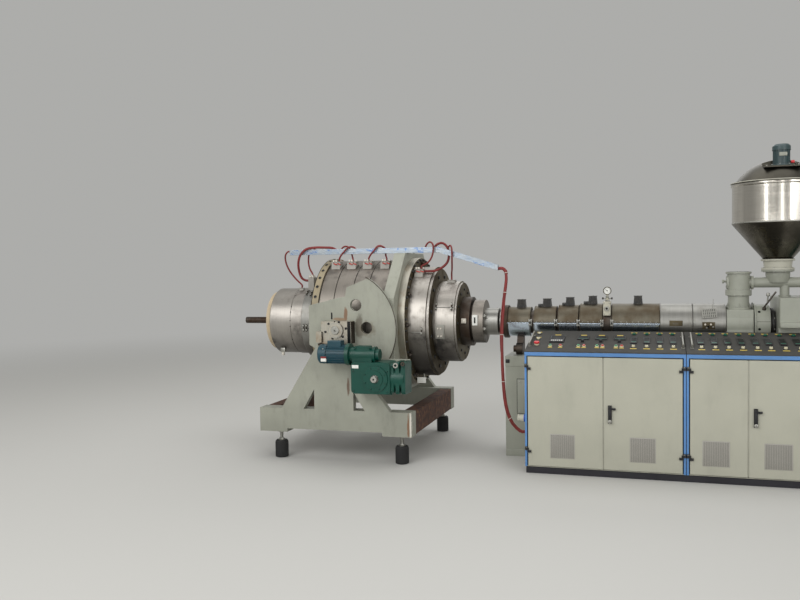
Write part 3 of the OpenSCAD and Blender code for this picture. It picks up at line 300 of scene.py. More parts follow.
# %% [markdown]
# The rings, covers and hopper are bare steel. Turned and rolled parts carry fine
# marks round their axis, so the noise is squeezed along that axis and stays long
# the other way. Heat leaves brown clouds on the barrel covers. The heater steel
# is painted darker low down: partly dirt and partly painted shade.

# %% Bare steel
ALONG_X = (260, 5, 5)
ALONG_Z = (5, 5, 260)
# DARK_BELOW paints the lower part of the heater steel darker. This is partly dirt and partly painted shade, where the
# steel mirrors the dark floor.
DARK_BELOW = (0.90, 0.16, tone(84, 82, 80))  # height, depth of the change and tone


def steel(name, shade, rough, marks=ALONG_X, mark_depth=0.12, stained=None, low_shade=None, wavy=0.0, streaks=0.0):
    """Bare metal; stained is the share that heat has coloured and its tone, and low_shade paints the lower part
    darker, partly dirt and partly painted shade.
    """
    bench, colour = Bench(name), tone(*shade)
    lines = patches(bench, 1.0, 2, 0.6, marks)
    cloud = patches(bench, 5.5, 5, 0.6)
    skin = ramped(bench, lines, (0.25, scaled(colour, 0.86)), (0.75, scaled(colour, 1.08)))
    heat_stain_and_low_shade = 0
    if stained:
        share, heat_tone = stained
        heat_stain_and_low_shade = cloud.over(1 - share, 0.16) * 0.85
        skin = mixed(bench, heat_stain_and_low_shade, skin, heat_tone)
    # Painted shade and dirt: the surface gets darker below the given height.
    if low_shade:
        level, depth, dark = low_shade
        heat_stain_and_low_shade = heat_stain_and_low_shade + (level - height_of(bench) + (cloud - 0.5) * 0.25).over(0, depth) * 0.85
        skin = mixed(bench, heat_stain_and_low_shade, skin, dark)
    if streaks:
        runs = patches(bench, 1.0, 3, 0.6, (12, 12, 0.5)).over(0.5, 0.14)
        skin = mixed(bench, runs * streaks, skin, scaled(colour, 0.45))
    dull = lines * mark_depth * 1.6 + (cloud * 0.16 + (rough - 0.12)) + heat_stain_and_low_shade * 0.12
    grain = lines * mark_depth
    if wavy:
        grain = grain + patches(bench, 3.2, 2, 0.5, (1, 1, 0.35)) * wavy
    bench.finish(Base_Color=skin, Roughness=dull, Metallic=1.0, Normal=bumps(bench, grain, 0.35, 0.0006))


# Both heater steels carry DARK_BELOW, which is painted shade and dirt on their lower part.
steel("heater_steel", (172, 167, 160), 0.34, stained=(0.34, tone(136, 129, 120)), low_shade=DARK_BELOW)
# band_steel is a darker copy of heater_steel. Its darker, browner tone is partly the bands' own colour and partly
# painted shade for the dark roof that they mirror.
steel("band_steel", (144, 138, 130), 0.42, stained=(0.36, tone(118, 110, 102)), low_shade=DARK_BELOW)
steel("cover_steel", (148, 147, 142), 0.34, stained=(0.34, tone(126, 123, 116)))
steel("tinted_cover", (108, 103, 91), 0.42, stained=(0.48, tone(88, 76, 60)))
steel("tray_steel", (190, 202, 214), 0.16, stained=(0.36, tone(120, 122, 122)), wavy=2.4)
steel("hopper_steel", (208, 203, 193), 0.19, ALONG_Z, 0.05, wavy=3.4, streaks=0.45)
steel("cone_steel", (124, 119, 109), 0.24, ALONG_Z, 0.05, (0.5, tone(74, 70, 64)), wavy=2.0, streaks=0.55)
steel("dome_steel", (84, 81, 73), 0.36, (60, 60, 60), 0.10, streaks=0.2)
steel("dull_brown", (108, 100, 80), 0.50, stained=(0.5, tone(72, 62, 48)))
steel("dark_steel", (86, 80, 74), 0.42, stained=(0.45, tone(66, 48, 36)))
steel("bare_casting", (176, 172, 160), 0.40, stained=(0.40, tone(140, 116, 86)))
print("finishes with bare steel:", len(finishes))

# %% [markdown]
# Rust, plastic and the film on the cable tray are each one of a kind. The rusty
# beam still has old red primer under its rust. The tray's protective film was
# never peeled off: it is milky, with blue print that shows as soft blue patches.

# %% Rust, plastic and film
def rusted(name):
    bench = Bench(name)
    flakes = patches(bench, 26, 8, 0.7)
    skin = ramped(bench, flakes, (0.32, tone(52, 38, 34)), (0.50, tone(80, 54, 44)), (0.62, tone(104, 70, 50)),
                  (0.76, tone(170, 130, 88)))
    pale = patches(bench, 6, 4).over(0.64, 0.08)
    skin = mixed(bench, pale * 0.35, skin, tone(132, 118, 100))
    bench.finish(Base_Color=skin, Roughness=0.86, Normal=bumps(bench, flakes, 0.5, 0.0015))


def moulded(name, shade, rough=0.3, speck=0.06, fine=160, depth=0.08, shine=0.5):
    bench, colour = Bench(name), tone(*shade)
    skin = ramped(bench, patches(bench, 12, 4), (0.3, scaled(colour, 1 - speck)), (0.7, scaled(colour, 1 + speck)))
    dull = patches(bench, 30, 3) * 0.2 + (rough - 0.1)
    bench.finish(Base_Color=skin, Roughness=dull, Specular_IOR_Level=shine,
                 Normal=bumps(bench, patches(bench, fine, 3), depth, 0.0005))


def film_wrapped(name):
    bench = Bench(name)
    print_marks = patches(bench, 1.0, 3, 0.5, (16, 16, 26), 0.6)
    skin = ramped(bench, print_marks, (0.40, tone(168, 176, 182)), (0.60, tone(154, 168, 184)),
                  (0.655, tone(66, 112, 178)), (0.70, tone(178, 186, 192)))
    creases = patches(bench, 1.0, 2, 0.5, (7, 30, 30), 1.5)
    bench.finish(Base_Color=skin, Roughness=0.28, Metallic=0.35, Normal=bumps(bench, creases, 0.5, 0.003))


rusted("rusty_steel")
film_wrapped("tray_film")
steel("zinc", (166, 165, 158), 0.38, (90, 90, 90))
moulded("black_plastic", (32, 32, 34), 0.42, shine=0.35)
moulded("black_rubber", (30, 30, 30), 0.72, 0.15, 60, 0.2)
moulded("pipe_plastic", (214, 204, 182), 0.40, 0.05)
moulded("lip_tan", (190, 172, 142), 0.42, 0.10)
moulded("red_wire", (122, 40, 38), 0.60, 0.22, 900, 0.4)
moulded("white_wire", (206, 200, 190), 0.55, 0.08, 900, 0.3)
moulded("ceramic", (216, 210, 198), 0.35, 0.05)
moulded("black_screw", (28, 27, 26), 0.38, 0.2, 300, 0.2)
moulded("yellow_label", (196, 172, 74), 0.5)
moulded("dark_glass", (20, 22, 22), 0.40, 0.02, 40, 0.02, 0.15)
moulded("dial_white", (226, 226, 220), 0.4, 0.02)
moulded("lamp_green", (10, 84, 64), shine=0.25)
moulded("display", (40, 100, 80), speck=0.02, shine=0.2)
moulded("grille_grey", (157, 154, 146), 0.5, 0.03)
moulded("grille_slot", (102, 100, 94), 0.6, 0.03)
for name, shade in (("green_lens", (66, 138, 100)), ("red_lens", (182, 66, 58)), ("stop_red", (200, 34, 40)),
                    ("cream_lens", (206, 200, 170)), ("blue_socket", (24, 62, 160))):
    moulded(name, shade)
print("all finishes:", len(finishes))

# %% [markdown]
# Every piece is a mesh in the machine's own place, so each object stays at the
# origin. Small helpers start a mesh from a bmesh shape, set it down between two
# corners or two points, and hand it to the body it rides on.

# %% Mesh helpers
SMOOTH = math.radians(32)
AXIS_Z = 1.05
RIGHT, FRONT, BACK, UP = (Vector(way) for way in ((1, 0, 0), (0, -1, 0), (0, 1, 0), (0, 0, 1)))


def settle(name, mesh, materials, body="machine", slot=None, replaced=()):
    """Makes the object of a finished bmesh, gives it its finishes and lets it ride on a body."""
    data = bpy.data.meshes.new(name)
    mesh.to_mesh(data)
    mesh.free()
    for material in materials:
        data.materials.append(finishes[material])
    data.shade_smooth()
    data.set_sharp_from_angle(angle=SMOOTH)
    made = bpy.data.objects.new(name, data)
    bpy.context.scene.collection.objects.link(made)
    if replaced:
        made.modifiers.new("even faces", "WEIGHTED_NORMAL").keep_sharp = True
    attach(made, body)
    slot or next((m for m in materials if m in node_slot.values()), "dark_steel")
    if replaced:
        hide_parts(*replaced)


def rounded_edges(mesh, edges, width):
    bmesh.ops.bevel(mesh, geom=edges, offset=width, offset_type="OFFSET", segments=2, profile=0.5,
                    affect="EDGES", clamp_overlap=True, material=-1)


def give(material, faces):
    for face in faces:
        face.material_index = material


def block_in(mesh, place, size, material=0, round_off=0.0):
    """A box of a given size about a place, with its edges rounded."""
    made = bmesh.ops.create_cube(mesh, size=1, matrix=place @ Matrix.Diagonal((*size, 1)))["verts"]
    give(material, {f for v in made for f in v.link_faces})
    if round_off:
        rounded_edges(mesh, list({e for v in made for e in v.link_edges}), round_off)


def box_in(mesh, low, high, round_off=0.0, material=0):
    """A box between two corners."""
    low, high = Vector(low), Vector(high)
    block_in(mesh, Matrix.Translation((low + high) / 2), high - low, material, round_off)


def rod_in(mesh, start, end, radius, sides, material=0, round_off=0.0, far_radius=None):
    """A round bar, cone or six-sided nut between two points."""
    start, end = Vector(start), Vector(end)
    turn = (end - start).to_track_quat("Z", "Y").to_matrix().to_4x4()
    place = Matrix.Translation((start + end) / 2) @ turn
    far = radius if far_radius is None else far_radius
    made = bmesh.ops.create_cone(mesh, cap_ends=True, segments=sides, radius1=radius, radius2=far,
                                 depth=(end - start).length, matrix=place)["verts"]
    give(material, {f for v in made for f in v.link_faces})
    if round_off:
        rims = [e for e in {e for v in made for e in v.link_edges} if any(len(f.verts) > 4 for f in e.link_faces)]
        rounded_edges(mesh, rims, round_off)


def turned_in(mesh, profile, centre, axis, sides, material=0):
    """Spins a profile of (along, out) points about an axis through centre."""
    axis = Vector(axis)
    out = axis.orthogonal().normalized()
    verts = [mesh.verts.new(Vector(centre) + axis * along + out * away) for along, away in profile]
    edges = [mesh.edges.new(pair) for pair in zip(verts, verts[1:])]
    known = set(mesh.faces)
    bmesh.ops.spin(mesh, geom=verts + edges, cent=centre, axis=axis, angle=math.tau, steps=sides, use_merge=True)
    fresh = [f for f in mesh.faces if f not in known]
    bmesh.ops.remove_doubles(mesh, verts=list({v for f in fresh for v in f.verts}), dist=1e-6)
    fresh = [f for f in mesh.faces if f not in known]
    give(material, fresh)
    bmesh.ops.recalc_face_normals(mesh, faces=fresh)


def band(low, high, inner, outer):
    """The profile of a raised band, open towards its axis."""
    return [(low, inner), (low, outer), (high, outer), (high, inner)]


def ring(low, high, inner, outer):
    """The closed profile of a ring."""
    return [*band(low, high, inner, outer), (low, inner)]


def hull_in(mesh, corners, material):
    """The tight solid round a few corners."""
    hull = bmesh.ops.convex_hull(mesh, input=[mesh.verts.new(c) for c in corners])
    give(material, [f for f in hull["geom"] if isinstance(f, bmesh.types.BMFace)])


def grid(xs, ys, zs):
    """Every place with one of these x, y and z."""
    return [Vector((x, y, z)) for x in xs for y in ys for z in zs]


def on_ring(x, radius, degrees, y=0.0, z=AXIS_Z):
    """A point on a ring round an axis along X; 0 degrees faces the operator, 90 is the top."""
    turn = math.radians(degrees)
    return Vector((x, y - radius * math.cos(turn), z + radius * math.sin(turn)))


def upright(centre, reach_x, reach_z, degrees, y):
    """A point on a circle or oval that faces the operator, at a given y."""
    turn = math.radians(degrees)
    return Vector((centre.x + reach_x * math.cos(turn), y, centre.z + reach_z * math.sin(turn)))


def refined(node, width, finish, extra, recolour):
    """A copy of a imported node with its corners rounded, which then stands for the node."""
    mesh = bmesh.new()
    mesh.from_mesh(frame["nodes"][node].data)
    bmesh.ops.remove_doubles(mesh, verts=mesh.verts, dist=2e-5)
    bmesh.ops.dissolve_limit(mesh, angle_limit=math.radians(0.4), verts=mesh.verts, edges=mesh.edges)
    rounded_edges(mesh, [e for e in mesh.edges if e.is_manifold and e.calc_face_angle() > math.radians(30)], width)
    for face in mesh.faces:
        face.material_index = recolour(face.calc_center_median(), face.normal) if recolour else 0
    materials = (finish or node_slot[node], *extra)
    settle(node + "_shape", mesh, materials, node_body[node], node_slot[node], (node,))


print("bodies:", sorted(set(node_body.values())))

# %% [markdown]
# Red sleeved leads leave the bunch in the cable tray and come down on the
# heaters' terminals. At the low end of the tray the bunch hangs down and goes
# through a gland into the first cabinet. Each row holds a lead's name, thickness,
# length and the points that it passes, in metres.

# %% Cables
LEADS = (
    ("outlet_lead", 0.014, 0.41, (
        (-3.545, -0.187, 1.648), (-3.582, -0.186, 1.645), (-3.610, -0.178, 1.610), (-3.612, -0.160, 1.550),
        (-3.590, -0.135, 1.480), (-3.545, -0.106, 1.410), (-3.500, -0.090, 1.362), (-3.500, -0.090, 1.337))),
    ("clamp_lead_thick", 0.020, 0.64, (
        (-3.130, -0.195, 1.650), (-3.172, -0.202, 1.670), (-3.235, -0.206, 1.674), (-3.310, -0.214, 1.676),
        (-3.390, -0.232, 1.664), (-3.445, -0.234, 1.615), (-3.475, -0.212, 1.550), (-3.484, -0.180, 1.480),
        (-3.472, -0.154, 1.422), (-3.440, -0.140, 1.400), (-3.404, -0.140, 1.400))),
    ("clamp_lead", 0.014, 0.34, (
        (-3.320, -0.184, 1.646), (-3.350, -0.175, 1.672), (-3.382, -0.158, 1.670), (-3.404, -0.146, 1.630),
        (-3.412, -0.144, 1.560), (-3.402, -0.141, 1.500), (-3.378, -0.140, 1.455), (-3.378, -0.140, 1.425))),
    ("band_1_lead", 0.014, 0.24, (
        (-2.950, -0.195, 1.646), (-2.982, -0.206, 1.673), (-3.017, -0.226, 1.670), (-3.048, -0.238, 1.638),
        (-3.080, -0.234, 1.604), (-3.100, -0.220, 1.576), (-3.100, -0.220, 1.554))),
    ("band_2_lead", 0.014, 0.24, (
        (-3.105, -0.185, 1.646), (-3.076, -0.175, 1.678), (-3.044, -0.156, 1.675), (-3.020, -0.150, 1.632),
        (-3.005, -0.168, 1.598), (-2.988, -0.200, 1.576), (-2.988, -0.200, 1.554))),
    ("band_3_lead", 0.014, 0.24, (
        (-2.695, -0.195, 1.646), (-2.727, -0.206, 1.673), (-2.762, -0.226, 1.670), (-2.792, -0.238, 1.638),
        (-2.822, -0.234, 1.604), (-2.842, -0.220, 1.576), (-2.842, -0.220, 1.554))),
    ("band_4_lead", 0.014, 0.24, (
        (-2.805, -0.185, 1.646), (-2.776, -0.175, 1.678), (-2.744, -0.156, 1.675), (-2.722, -0.150, 1.632),
        (-2.711, -0.168, 1.598), (-2.694, -0.200, 1.576), (-2.694, -0.200, 1.554))),
    ("large_ring_lead", 0.014, 0.37, (
        (-2.372, -0.195, 1.646), (-2.352, -0.204, 1.682), (-2.322, -0.220, 1.700), (-2.294, -0.236, 1.682),
        (-2.288, -0.242, 1.638), (-2.302, -0.240, 1.580), (-2.336, -0.234, 1.535), (-2.392, -0.222, 1.508),
        (-2.392, -0.222, 1.485))),
    ("large_ring_lead_thick", 0.020, 0.48, (
        (-2.300, -0.186, 1.648), (-2.270, -0.178, 1.682), (-2.230, -0.160, 1.690), (-2.195, -0.146, 1.655),
        (-2.184, -0.144, 1.600), (-2.192, -0.156, 1.540), (-2.230, -0.182, 1.495), (-2.290, -0.203, 1.468),
        (-2.340, -0.205, 1.466), (-2.375, -0.205, 1.466))),
    ("small_ring_lead", 0.014, 0.44, (
        (-2.190, -0.195, 1.626), (-2.172, -0.204, 1.658), (-2.152, -0.222, 1.668), (-2.138, -0.238, 1.642),
        (-2.138, -0.234, 1.590), (-2.146, -0.200, 1.530), (-2.160, -0.142, 1.480), (-2.176, -0.088, 1.450),
        (-2.184, -0.055, 1.420), (-2.184, -0.055, 1.392))),
)
BUNDLE = (
    (-1.770, -0.187, 1.479), (-1.742, -0.187, 1.479), (-1.718, -0.194, 1.458), (-1.708, -0.208, 1.422),
    (-1.706, -0.230, 1.370), (-1.712, -0.262, 1.290), (-1.718, -0.298, 1.190), (-1.722, -0.330, 1.080),
    (-1.722, -0.360, 0.970), (-1.718, -0.388, 0.860), (-1.711, -0.415, 0.740), (-1.702, -0.435, 0.620),
    (-1.690, -0.448, 0.500), (-1.668, -0.453, 0.390), (-1.628, -0.452, 0.305), (-1.572, -0.450, 0.252),
    (-1.540, -0.450, 0.250), (-1.512, -0.450, 0.250))


def smooth_route(route, steps):
    """A soft curve through every point of a route, with steps points to each stretch."""
    knots = [Vector(p) for p in route]
    knots = [2 * knots[0] - knots[1], *knots, 2 * knots[-1] - knots[-2]]
    line = []
    for a, b, c, d in zip(knots, knots[1:], knots[2:], knots[3:]):
        for t in (step / steps for step in range(steps)):
            bend = (2 * a - 5 * b + 4 * c - d) * t ** 2 + (3 * b - a - 3 * c + d) * t ** 3
            line.append((2 * b + (c - a) * t + bend) / 2)
    return [*line, knots[-2]]


def wires(name, lines, radius, materials, as_mesh=True):
    """Round wires along lines of points; materials go round in turn."""
    curve = bpy.data.curves.new(name, "CURVE")
    curve.dimensions, curve.bevel_depth, curve.bevel_resolution, curve.use_fill_caps = "3D", radius, 2, True
    for count, line in enumerate(lines):
        spline = curve.splines.new("POLY")
        spline.points.add(len(line) - 1)
        spline.points.foreach_set("co", [value for point in line for value in (*point, 1)])
        spline.material_index = count % len(materials)
        spline.use_smooth = True
    made = bpy.data.objects.new(name, curve)
    if as_mesh:
        made = bpy.data.objects.new(name, bpy.data.meshes.new_from_object(made))
    for index, material in enumerate(materials):
        if index < len(made.data.materials):
            made.data.materials[index] = finishes[material]
        else:
            made.data.materials.append(finishes[material])
    bpy.context.scene.collection.objects.link(made)
    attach(made, "machine")
    return made


def bunched(line, count, reach, turns):
    """Lines of wires that lie round one line and turn slowly about it."""
    sideways = Vector((0, 1, 0.2))
    frames = []
    for place, (before, after) in zip(line, zip([line[0], *line], [*line[1:], line[-1]])):
        way = (after - before).normalized()
        sideways = (sideways - sideways.dot(way) * way).normalized()
        frames.append((place, sideways, way.cross(sideways)))
    rows = []
    for wire in range(count):
        out = reach * (0.25 + 0.75 * ((wire * 0.618) % 1) ** 0.5)
        row = []
        for step, (place, one, other) in enumerate(frames):
            turn = wire * 2.4 + turns * math.tau * step / len(frames) + 0.35 * math.sin(step * 0.9 + wire)
            row.append(place + out * (math.cos(turn) * one + math.sin(turn) * other))
        rows.append(row)
    return rows


for name, thick, length, route in LEADS:
    lead = wires(name, [smooth_route(route, 3)], thick / 2, ["red_wire"], as_mesh=False)
    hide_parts("heater_leads")

bundle_line = smooth_route(BUNDLE, 2)
bundle = wires("cable_bundle_strands", bunched(bundle_line, 22, 0.0115, 1.5), 0.0034,
               ["red_wire", "red_wire", "white_wire", "red_wire"])
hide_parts("cable_bundle")
ties = bmesh.new()
for step in (5, 10, 16, 22, 27):
    way = (bundle_line[step + 1] - bundle_line[step]).normalized()
    turned_in(ties, ring(-0.002, 0.002, 0.0145, 0.0158), bundle_line[step], way, 16)
settle("cable_ties", ties, ["white_wire"], slot="black_plastic")

# %% [markdown]
# In the tray the wires lie side by side along its floor, over the die and down
# the slope.

# %% Wires in the tray
TRAY_Y, STEPS = -0.19, 12
tray_low, tray_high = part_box("tray_wires")
knee = Vector((-2.252, TRAY_Y, 1.618))
floor_line = [Vector((tray_low[0], TRAY_Y, knee.z)), knee, Vector((tray_high[0], TRAY_Y, tray_low[2]))]
laid = []
for wire in range(12):
    across = -0.0125 + 0.005 * (wire % 6)
    above = 0.005 if wire < 6 else 0.0135
    row = [start.lerp(end, step / STEPS) + Vector((0, across + 0.0025 * math.sin(step * 1.3 + wire * 2), above))
           for start, end in zip(floor_line, floor_line[1:]) for step in range(STEPS)]
    laid.append([*row, floor_line[-1] + Vector((0, across, above))])
tray_run = wires("wires_in_the_tray", laid, 0.0042, ["red_wire", "red_wire", "red_wire", "white_wire", "red_wire"])
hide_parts("tray_wires")
print("wires in the tray:", len(laid))

# %% [markdown]
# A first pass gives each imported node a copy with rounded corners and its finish.
# Real castings and folded sheets have no knife edges, and a rounded edge catches
# a thin line of light that tells the eye how big the piece is. Some pieces carry
# a second finish on part of their faces, picked by where the face is.

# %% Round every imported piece
EDGE_WIDTHS = {node: width for width, nodes in (
    (0.008, ("gearbox",)), (0.006, ("worm_reducer",)), (0.005, ("feed_throat",)),
    (0.004, ("machine_base", "bearing_section", "saddle_plate", "stand_frames", "stand_beams", "brake_motor")),
    (0.003, ("sector_plates", "trunnion_blocks", "jack_feet", "die_lip")),
    (0.001, ("hinges", "cover_tops", "cover_trays")), (0.0006, ("blue_trim",))) for node in nodes}
OWN_FINISH = {
    "clamp_heater": "cover_steel", "steel_covers": "cover_steel", "hopper_cone": "cone_steel",
    "hopper_dome": "dome_steel", "hopper_outlet": "outlet_cream", "die_heaters": "band_steel",
    "die_lip": "lip_tan", "coupling": "terminal_box", "reducer_shaft": "zinc",
}


def towards_barrel(at, way):
    """Picks the second finish for faces that look towards the barrel."""
    return int(way.x > 0.8)


MORE_FINISHES = {
    "die_ring_a": (("dull_brown",), towards_barrel),
    "die_ring_b": (("dull_brown",), towards_barrel),
    "die_rear_flange": (("dull_brown",), towards_barrel),
    "trunnion_blocks": (("dark_steel",), towards_barrel),
    "die_front_flange": (("tan_rim",), lambda at, way: int(abs(way.x) < 0.5)),
    "die_adapter": (("band_steel", "cover_steel"), lambda at, way: int(at.x > -2.0) + int(at.x > -1.907)),
    "clamp_heater": (("terminal_plate",), lambda at, way: int(math.hypot(at.y, at.z - AXIS_Z) > 0.325)),
    "vent_port": (("dial_white",), lambda at, way: int(at.z > 1.262 and abs(way.y) > 0.9)),
    "jack_feet": (("zinc",), lambda at, way: int(at.z > 0.139)),
    "stirrer_motor": (("dome_steel",), lambda at, way: int(at.z < 2.186)),
}
for hung, x in (("door_1", -1.476), ("door_2", -0.420), ("door_3", -0.372), ("door_4", 0.366)):
    MORE_FINISHES[hung] = (("black_plastic",), lambda at, way, x=x: int(at.y < -0.7125 and abs(at.x - x) < 0.02))
WIRE_NODES = ("heater_leads", "cable_bundle", "tray_wires")
rounded = [name for name in frame["nodes"] if name not in WIRE_NODES]
for name in rounded:
    refined(name, EDGE_WIDTHS.get(name, 0.002), OWN_FINISH.get(name), *MORE_FINISHES.get(name, ((), None)))
print("rounded pieces:", len(rounded))

# %% [markdown]
# Bolts are what gives a machine its scale. Two kinds cover nearly all of them: a
# black cap screw with a hexagon socket, and a hexagon nut on its washer with the
# end of a stud. A bent patch is a thin plate that follows the machine's round from
# one angle to another.

# %% Fasteners
FASTENERS = ("black_screw", "dark_glass", "zinc", "dark_steel")
BLACK, HOLE, BRIGHT, OILY = range(4)


def cap_screw(mesh, place, way, radius, high, material=BLACK):
    place, way = Vector(place), Vector(way).normalized()
    rod_in(mesh, place - way * 0.002, place + way * high, radius, 20, material, radius * 0.14)
    rod_in(mesh, place + way * high * 0.5, place + way * (high + 0.0003), radius * 0.5, 6, HOLE)


def stud_nut(mesh, place, way, radius, high, material=BRIGHT):
    place, way = Vector(place), Vector(way).normalized()
    rod_in(mesh, place - way * 0.002, place + way * 0.002, radius * 1.3, 24, material)
    rod_in(mesh, place, place + way * high, radius, 6, material, radius * 0.08)
    rod_in(mesh, place, place + way * high * 1.45, radius * 0.5, 12, material, radius * 0.06)


def radial(degrees):
    """Direction from the screw axis; 0 degrees faces the operator, 90 is up."""
    turn = math.radians(degrees)
    return Vector((0, -math.cos(turn), math.sin(turn)))


def spaced(low, high, pitch):
    """Even places from low to high, about pitch apart."""
    count = max(1, round((high - low) / pitch))
    return [low + (high - low) * step / count for step in range(count + 1)]


def bent_patch(mesh, ends, radius, angles, lift, material):
    """A thin plate that follows a round about the screw axis from one angle to another."""
    places = spaced(*angles, 5)
    for pair in zip(places, places[1:]):
        hull_in(mesh, [on_ring(x, out, degrees) for x in ends for out in (radius - 0.002, radius + lift)
                       for degrees in pair], material)


def cowl_holes(mesh, x, rows, gap, twist, deep, size, material, y=0.0, z=AXIS_Z):
    """Dark round holes in a fan cowl; each row turns a little further than the one inside it."""
    for degrees in range(0, 360, gap):
        for out in rows:
            place = on_ring(x, out, degrees + out * twist, y, z)
            rod_in(mesh, place, place + RIGHT * deep, size, 12, material)


def fasteners(name):
    """Starts a mesh of fasteners; the returned function hands it over."""
    mesh = bmesh.new()
    return mesh, lambda: settle(name, mesh, FASTENERS, slot="dark_steel")


print("fastener materials:", FASTENERS)

# %% [markdown]
# The die head is bolted together from flanges. Cap screws sit in the front
# flange's rim every ten degrees, and the rear flange carries a ring of screws and
# a ring of larger nuts on its face towards the barrel.

# %% Bolts of the die head
body_low, body_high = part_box("die_body")
rim_x = body_low[0] - 0.030
rear_face, small_face, adapter_face = (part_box(node)[0][0] for node in ("die_ring_a", "die_ring_b", "die_adapter"))
clamp_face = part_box("die_adapter")[1][0] - 0.152
mesh, done = fasteners("die_rim_screws")
for degrees in range(-5, 355, 10):
    cap_screw(mesh, on_ring(rim_x, 0.527, degrees), radial(degrees), 0.0125, 0.004)
done()
mesh, done = fasteners("die_rear_bolts")
for degrees in range(0, 360, 10):
    cap_screw(mesh, on_ring(rear_face, 0.507, degrees + 5), RIGHT, 0.010, 0.012)
    if degrees % 30 == 0:
        stud_nut(mesh, on_ring(rear_face, 0.478, degrees), RIGHT, 0.017, 0.018, OILY)
done()
mesh, done = fasteners("die_ring_bolts")
for degrees in range(0, 360, 30):
    cap_screw(mesh, on_ring(small_face, 0.375, degrees + 15), RIGHT, 0.014, 0.010)
    cap_screw(mesh, on_ring(adapter_face, 0.262, degrees), RIGHT, 0.011, 0.008)
for degrees in (20, 160, 200, 340):
    stud_nut(mesh, on_ring(clamp_face, 0.150, degrees), RIGHT, 0.014, 0.014)
done()
print("bolt rings at x =", [round(v, 3) for v in (rim_x, rear_face, small_face, adapter_face)])

# %% [markdown]
# Thin dark lines tell the plates apart: the joints of the wrapped heater sheets
# and the small holes round the outlet. A dark ring beside the front flange and a
# dark strip on the small ring's left edge are painted shadow.

# %% Seams and holes of the die head
OUTLET_HOLES = 16
RING_A_R, RING_B_R, CLAMP_R = 0.450, 0.330, 0.318


def sheet_joint(mesh, low_x, high_x, radius, degrees):
    """A straight joint along X on a round sheet: a dark line beside a bright one."""
    for sideways, material in ((-0.0015, HOLE), (0.0015, BRIGHT)):
        out = radial(degrees) * radius + radial(degrees + 90) * sideways
        start, end = (Vector((x, 0, AXIS_Z)) + out for x in (low_x, high_x))
        rod_in(mesh, start, end, 0.0018, 8, material)


mesh, done = fasteners("die_seams")
# Painted shadow: a thin dark ring beside the front flange.
turned_in(mesh, ring(0, 0.004, 0.5255, 0.5276), (rim_x - 0.028, 0, AXIS_Z), RIGHT, 144, HOLE)
sheet_joint(mesh, rear_face + 0.003, rear_face + 0.122, RING_A_R, -8)
sheet_joint(mesh, small_face + 0.022, small_face + 0.172, RING_B_R, 23)
sheet_joint(mesh, -3.413, -3.343, CLAMP_R, -8)
# Painted shadow: a dark strip along the small ring's left edge.
bent_patch(mesh, (-2.2560, -2.2525), RING_B_R, (24, 65), 0.0008, HOLE)
for step in range(OUTLET_HOLES):
    degrees = 18 - 25 * step
    place = on_ring(-3.530, 0.280, degrees)
    rod_in(mesh, place - radial(degrees) * 0.01, place + radial(degrees) * 0.0005, 0.0055, 16, HOLE)
done()

mesh, done = fasteners("heater_clasps")
for x, radius, degrees, wide in (
        (rear_face + 0.115, RING_A_R, -6, 0.016), (small_face + 0.030, RING_B_R, 24, 0.012),
        (small_face + 0.155, RING_B_R, 24, 0.012), (-3.390, CLAMP_R, -7, 0.014), (-3.365, CLAMP_R, -7, 0.014),
        (-3.400, CLAMP_R, 51, 0.012), (-3.360, CLAMP_R, 48, 0.012)):
    out, across = radial(degrees), radial(degrees + 90)
    place = on_ring(x, radius, degrees)
    for pin in (place - across * 0.018, place + across * 0.018):
        rod_in(mesh, pin - out * 0.002, pin + out * 0.016, wide * 0.6, 12, BRIGHT, 0.001)
    wire = place + out * 0.010
    rod_in(mesh, wire - across * 0.034, wire + across * 0.030, 0.0036, 10, OILY)
done()
print("outlet holes:", OUTLET_HOLES)

# %% [markdown]
# Each heater's terminal box is a bent sheet cover with ceramic bushings, bright
# screws and a pair of short orange-red sleeves on its front.

# %% Heater terminals
BUSHING, SLEEVE, TERMINAL_SCREW = range(3)
BOXES = [(body_low[0] + (body_high[0] - body_low[0]) * share, -0.215, 1.554)
         for share in (0.109, 0.3465, 0.585, 0.8475)]
BOXES += [(rear_face + 0.042, -0.215, 1.485)]
mesh = bmesh.new()
for x, y, z in BOXES:
    for side_x, side_y in ((-0.024, -0.018), (0.0, -0.022), (0.022, 0.020), (-0.020, 0.020)):
        foot = Vector((x + side_x, y + side_y, z - 0.001))
        rod_in(mesh, foot, foot + UP * 0.016, 0.0075, 16, BUSHING, 0.001, 0.006)
    for side_x in (-0.018, 0.016):
        rod_in(mesh, (x + side_x, y - 0.036, z - 0.006), (x + side_x, y - 0.040, z - 0.012), 0.004, 6, TERMINAL_SCREW)
        start = Vector((x + side_x, y - 0.040, z - 0.016))
        rod_in(mesh, start, start + Vector((0.030, -0.006, -0.010)), 0.0045, 10, SLEEVE, 0.001)
clamp_top = Vector((-3.378, -0.14, 1.425))
for side_x, side_y in ((-0.012, -0.022), (0.012, -0.022), (0.012, 0.022), (-0.012, 0.020)):
    foot = clamp_top + Vector((side_x, side_y, -0.001))
    rod_in(mesh, foot, foot + Vector((-0.004, -0.004, 0.022)), 0.008, 16, BUSHING, 0.001, 0.006)
settle("heater_bushings", mesh, ("ceramic", "red_lens", "zinc"), slot="terminal_plate")

METAL, CERAMIC, PLATE, DARK = range(4)
mesh = bmesh.new()
bent_patch(mesh, (-2.260, -2.183), RING_B_R, (-20.5, -1.5), 0.012, METAL)
bent_patch(mesh, (-2.250, -2.193), RING_B_R, (-18.5, -3.5), 0.015, PLATE)
for x in (-2.2335, -2.2095):
    for degrees in (-6, -16):
        place = on_ring(x, 0.345, degrees)
        rod_in(mesh, place, place + radial(degrees) * 0.012, 0.006, 16, CERAMIC, 0.001)
settle("small_ring_terminal", mesh, ("zinc", "ceramic", "terminal_plate"), slot="terminal_plate")

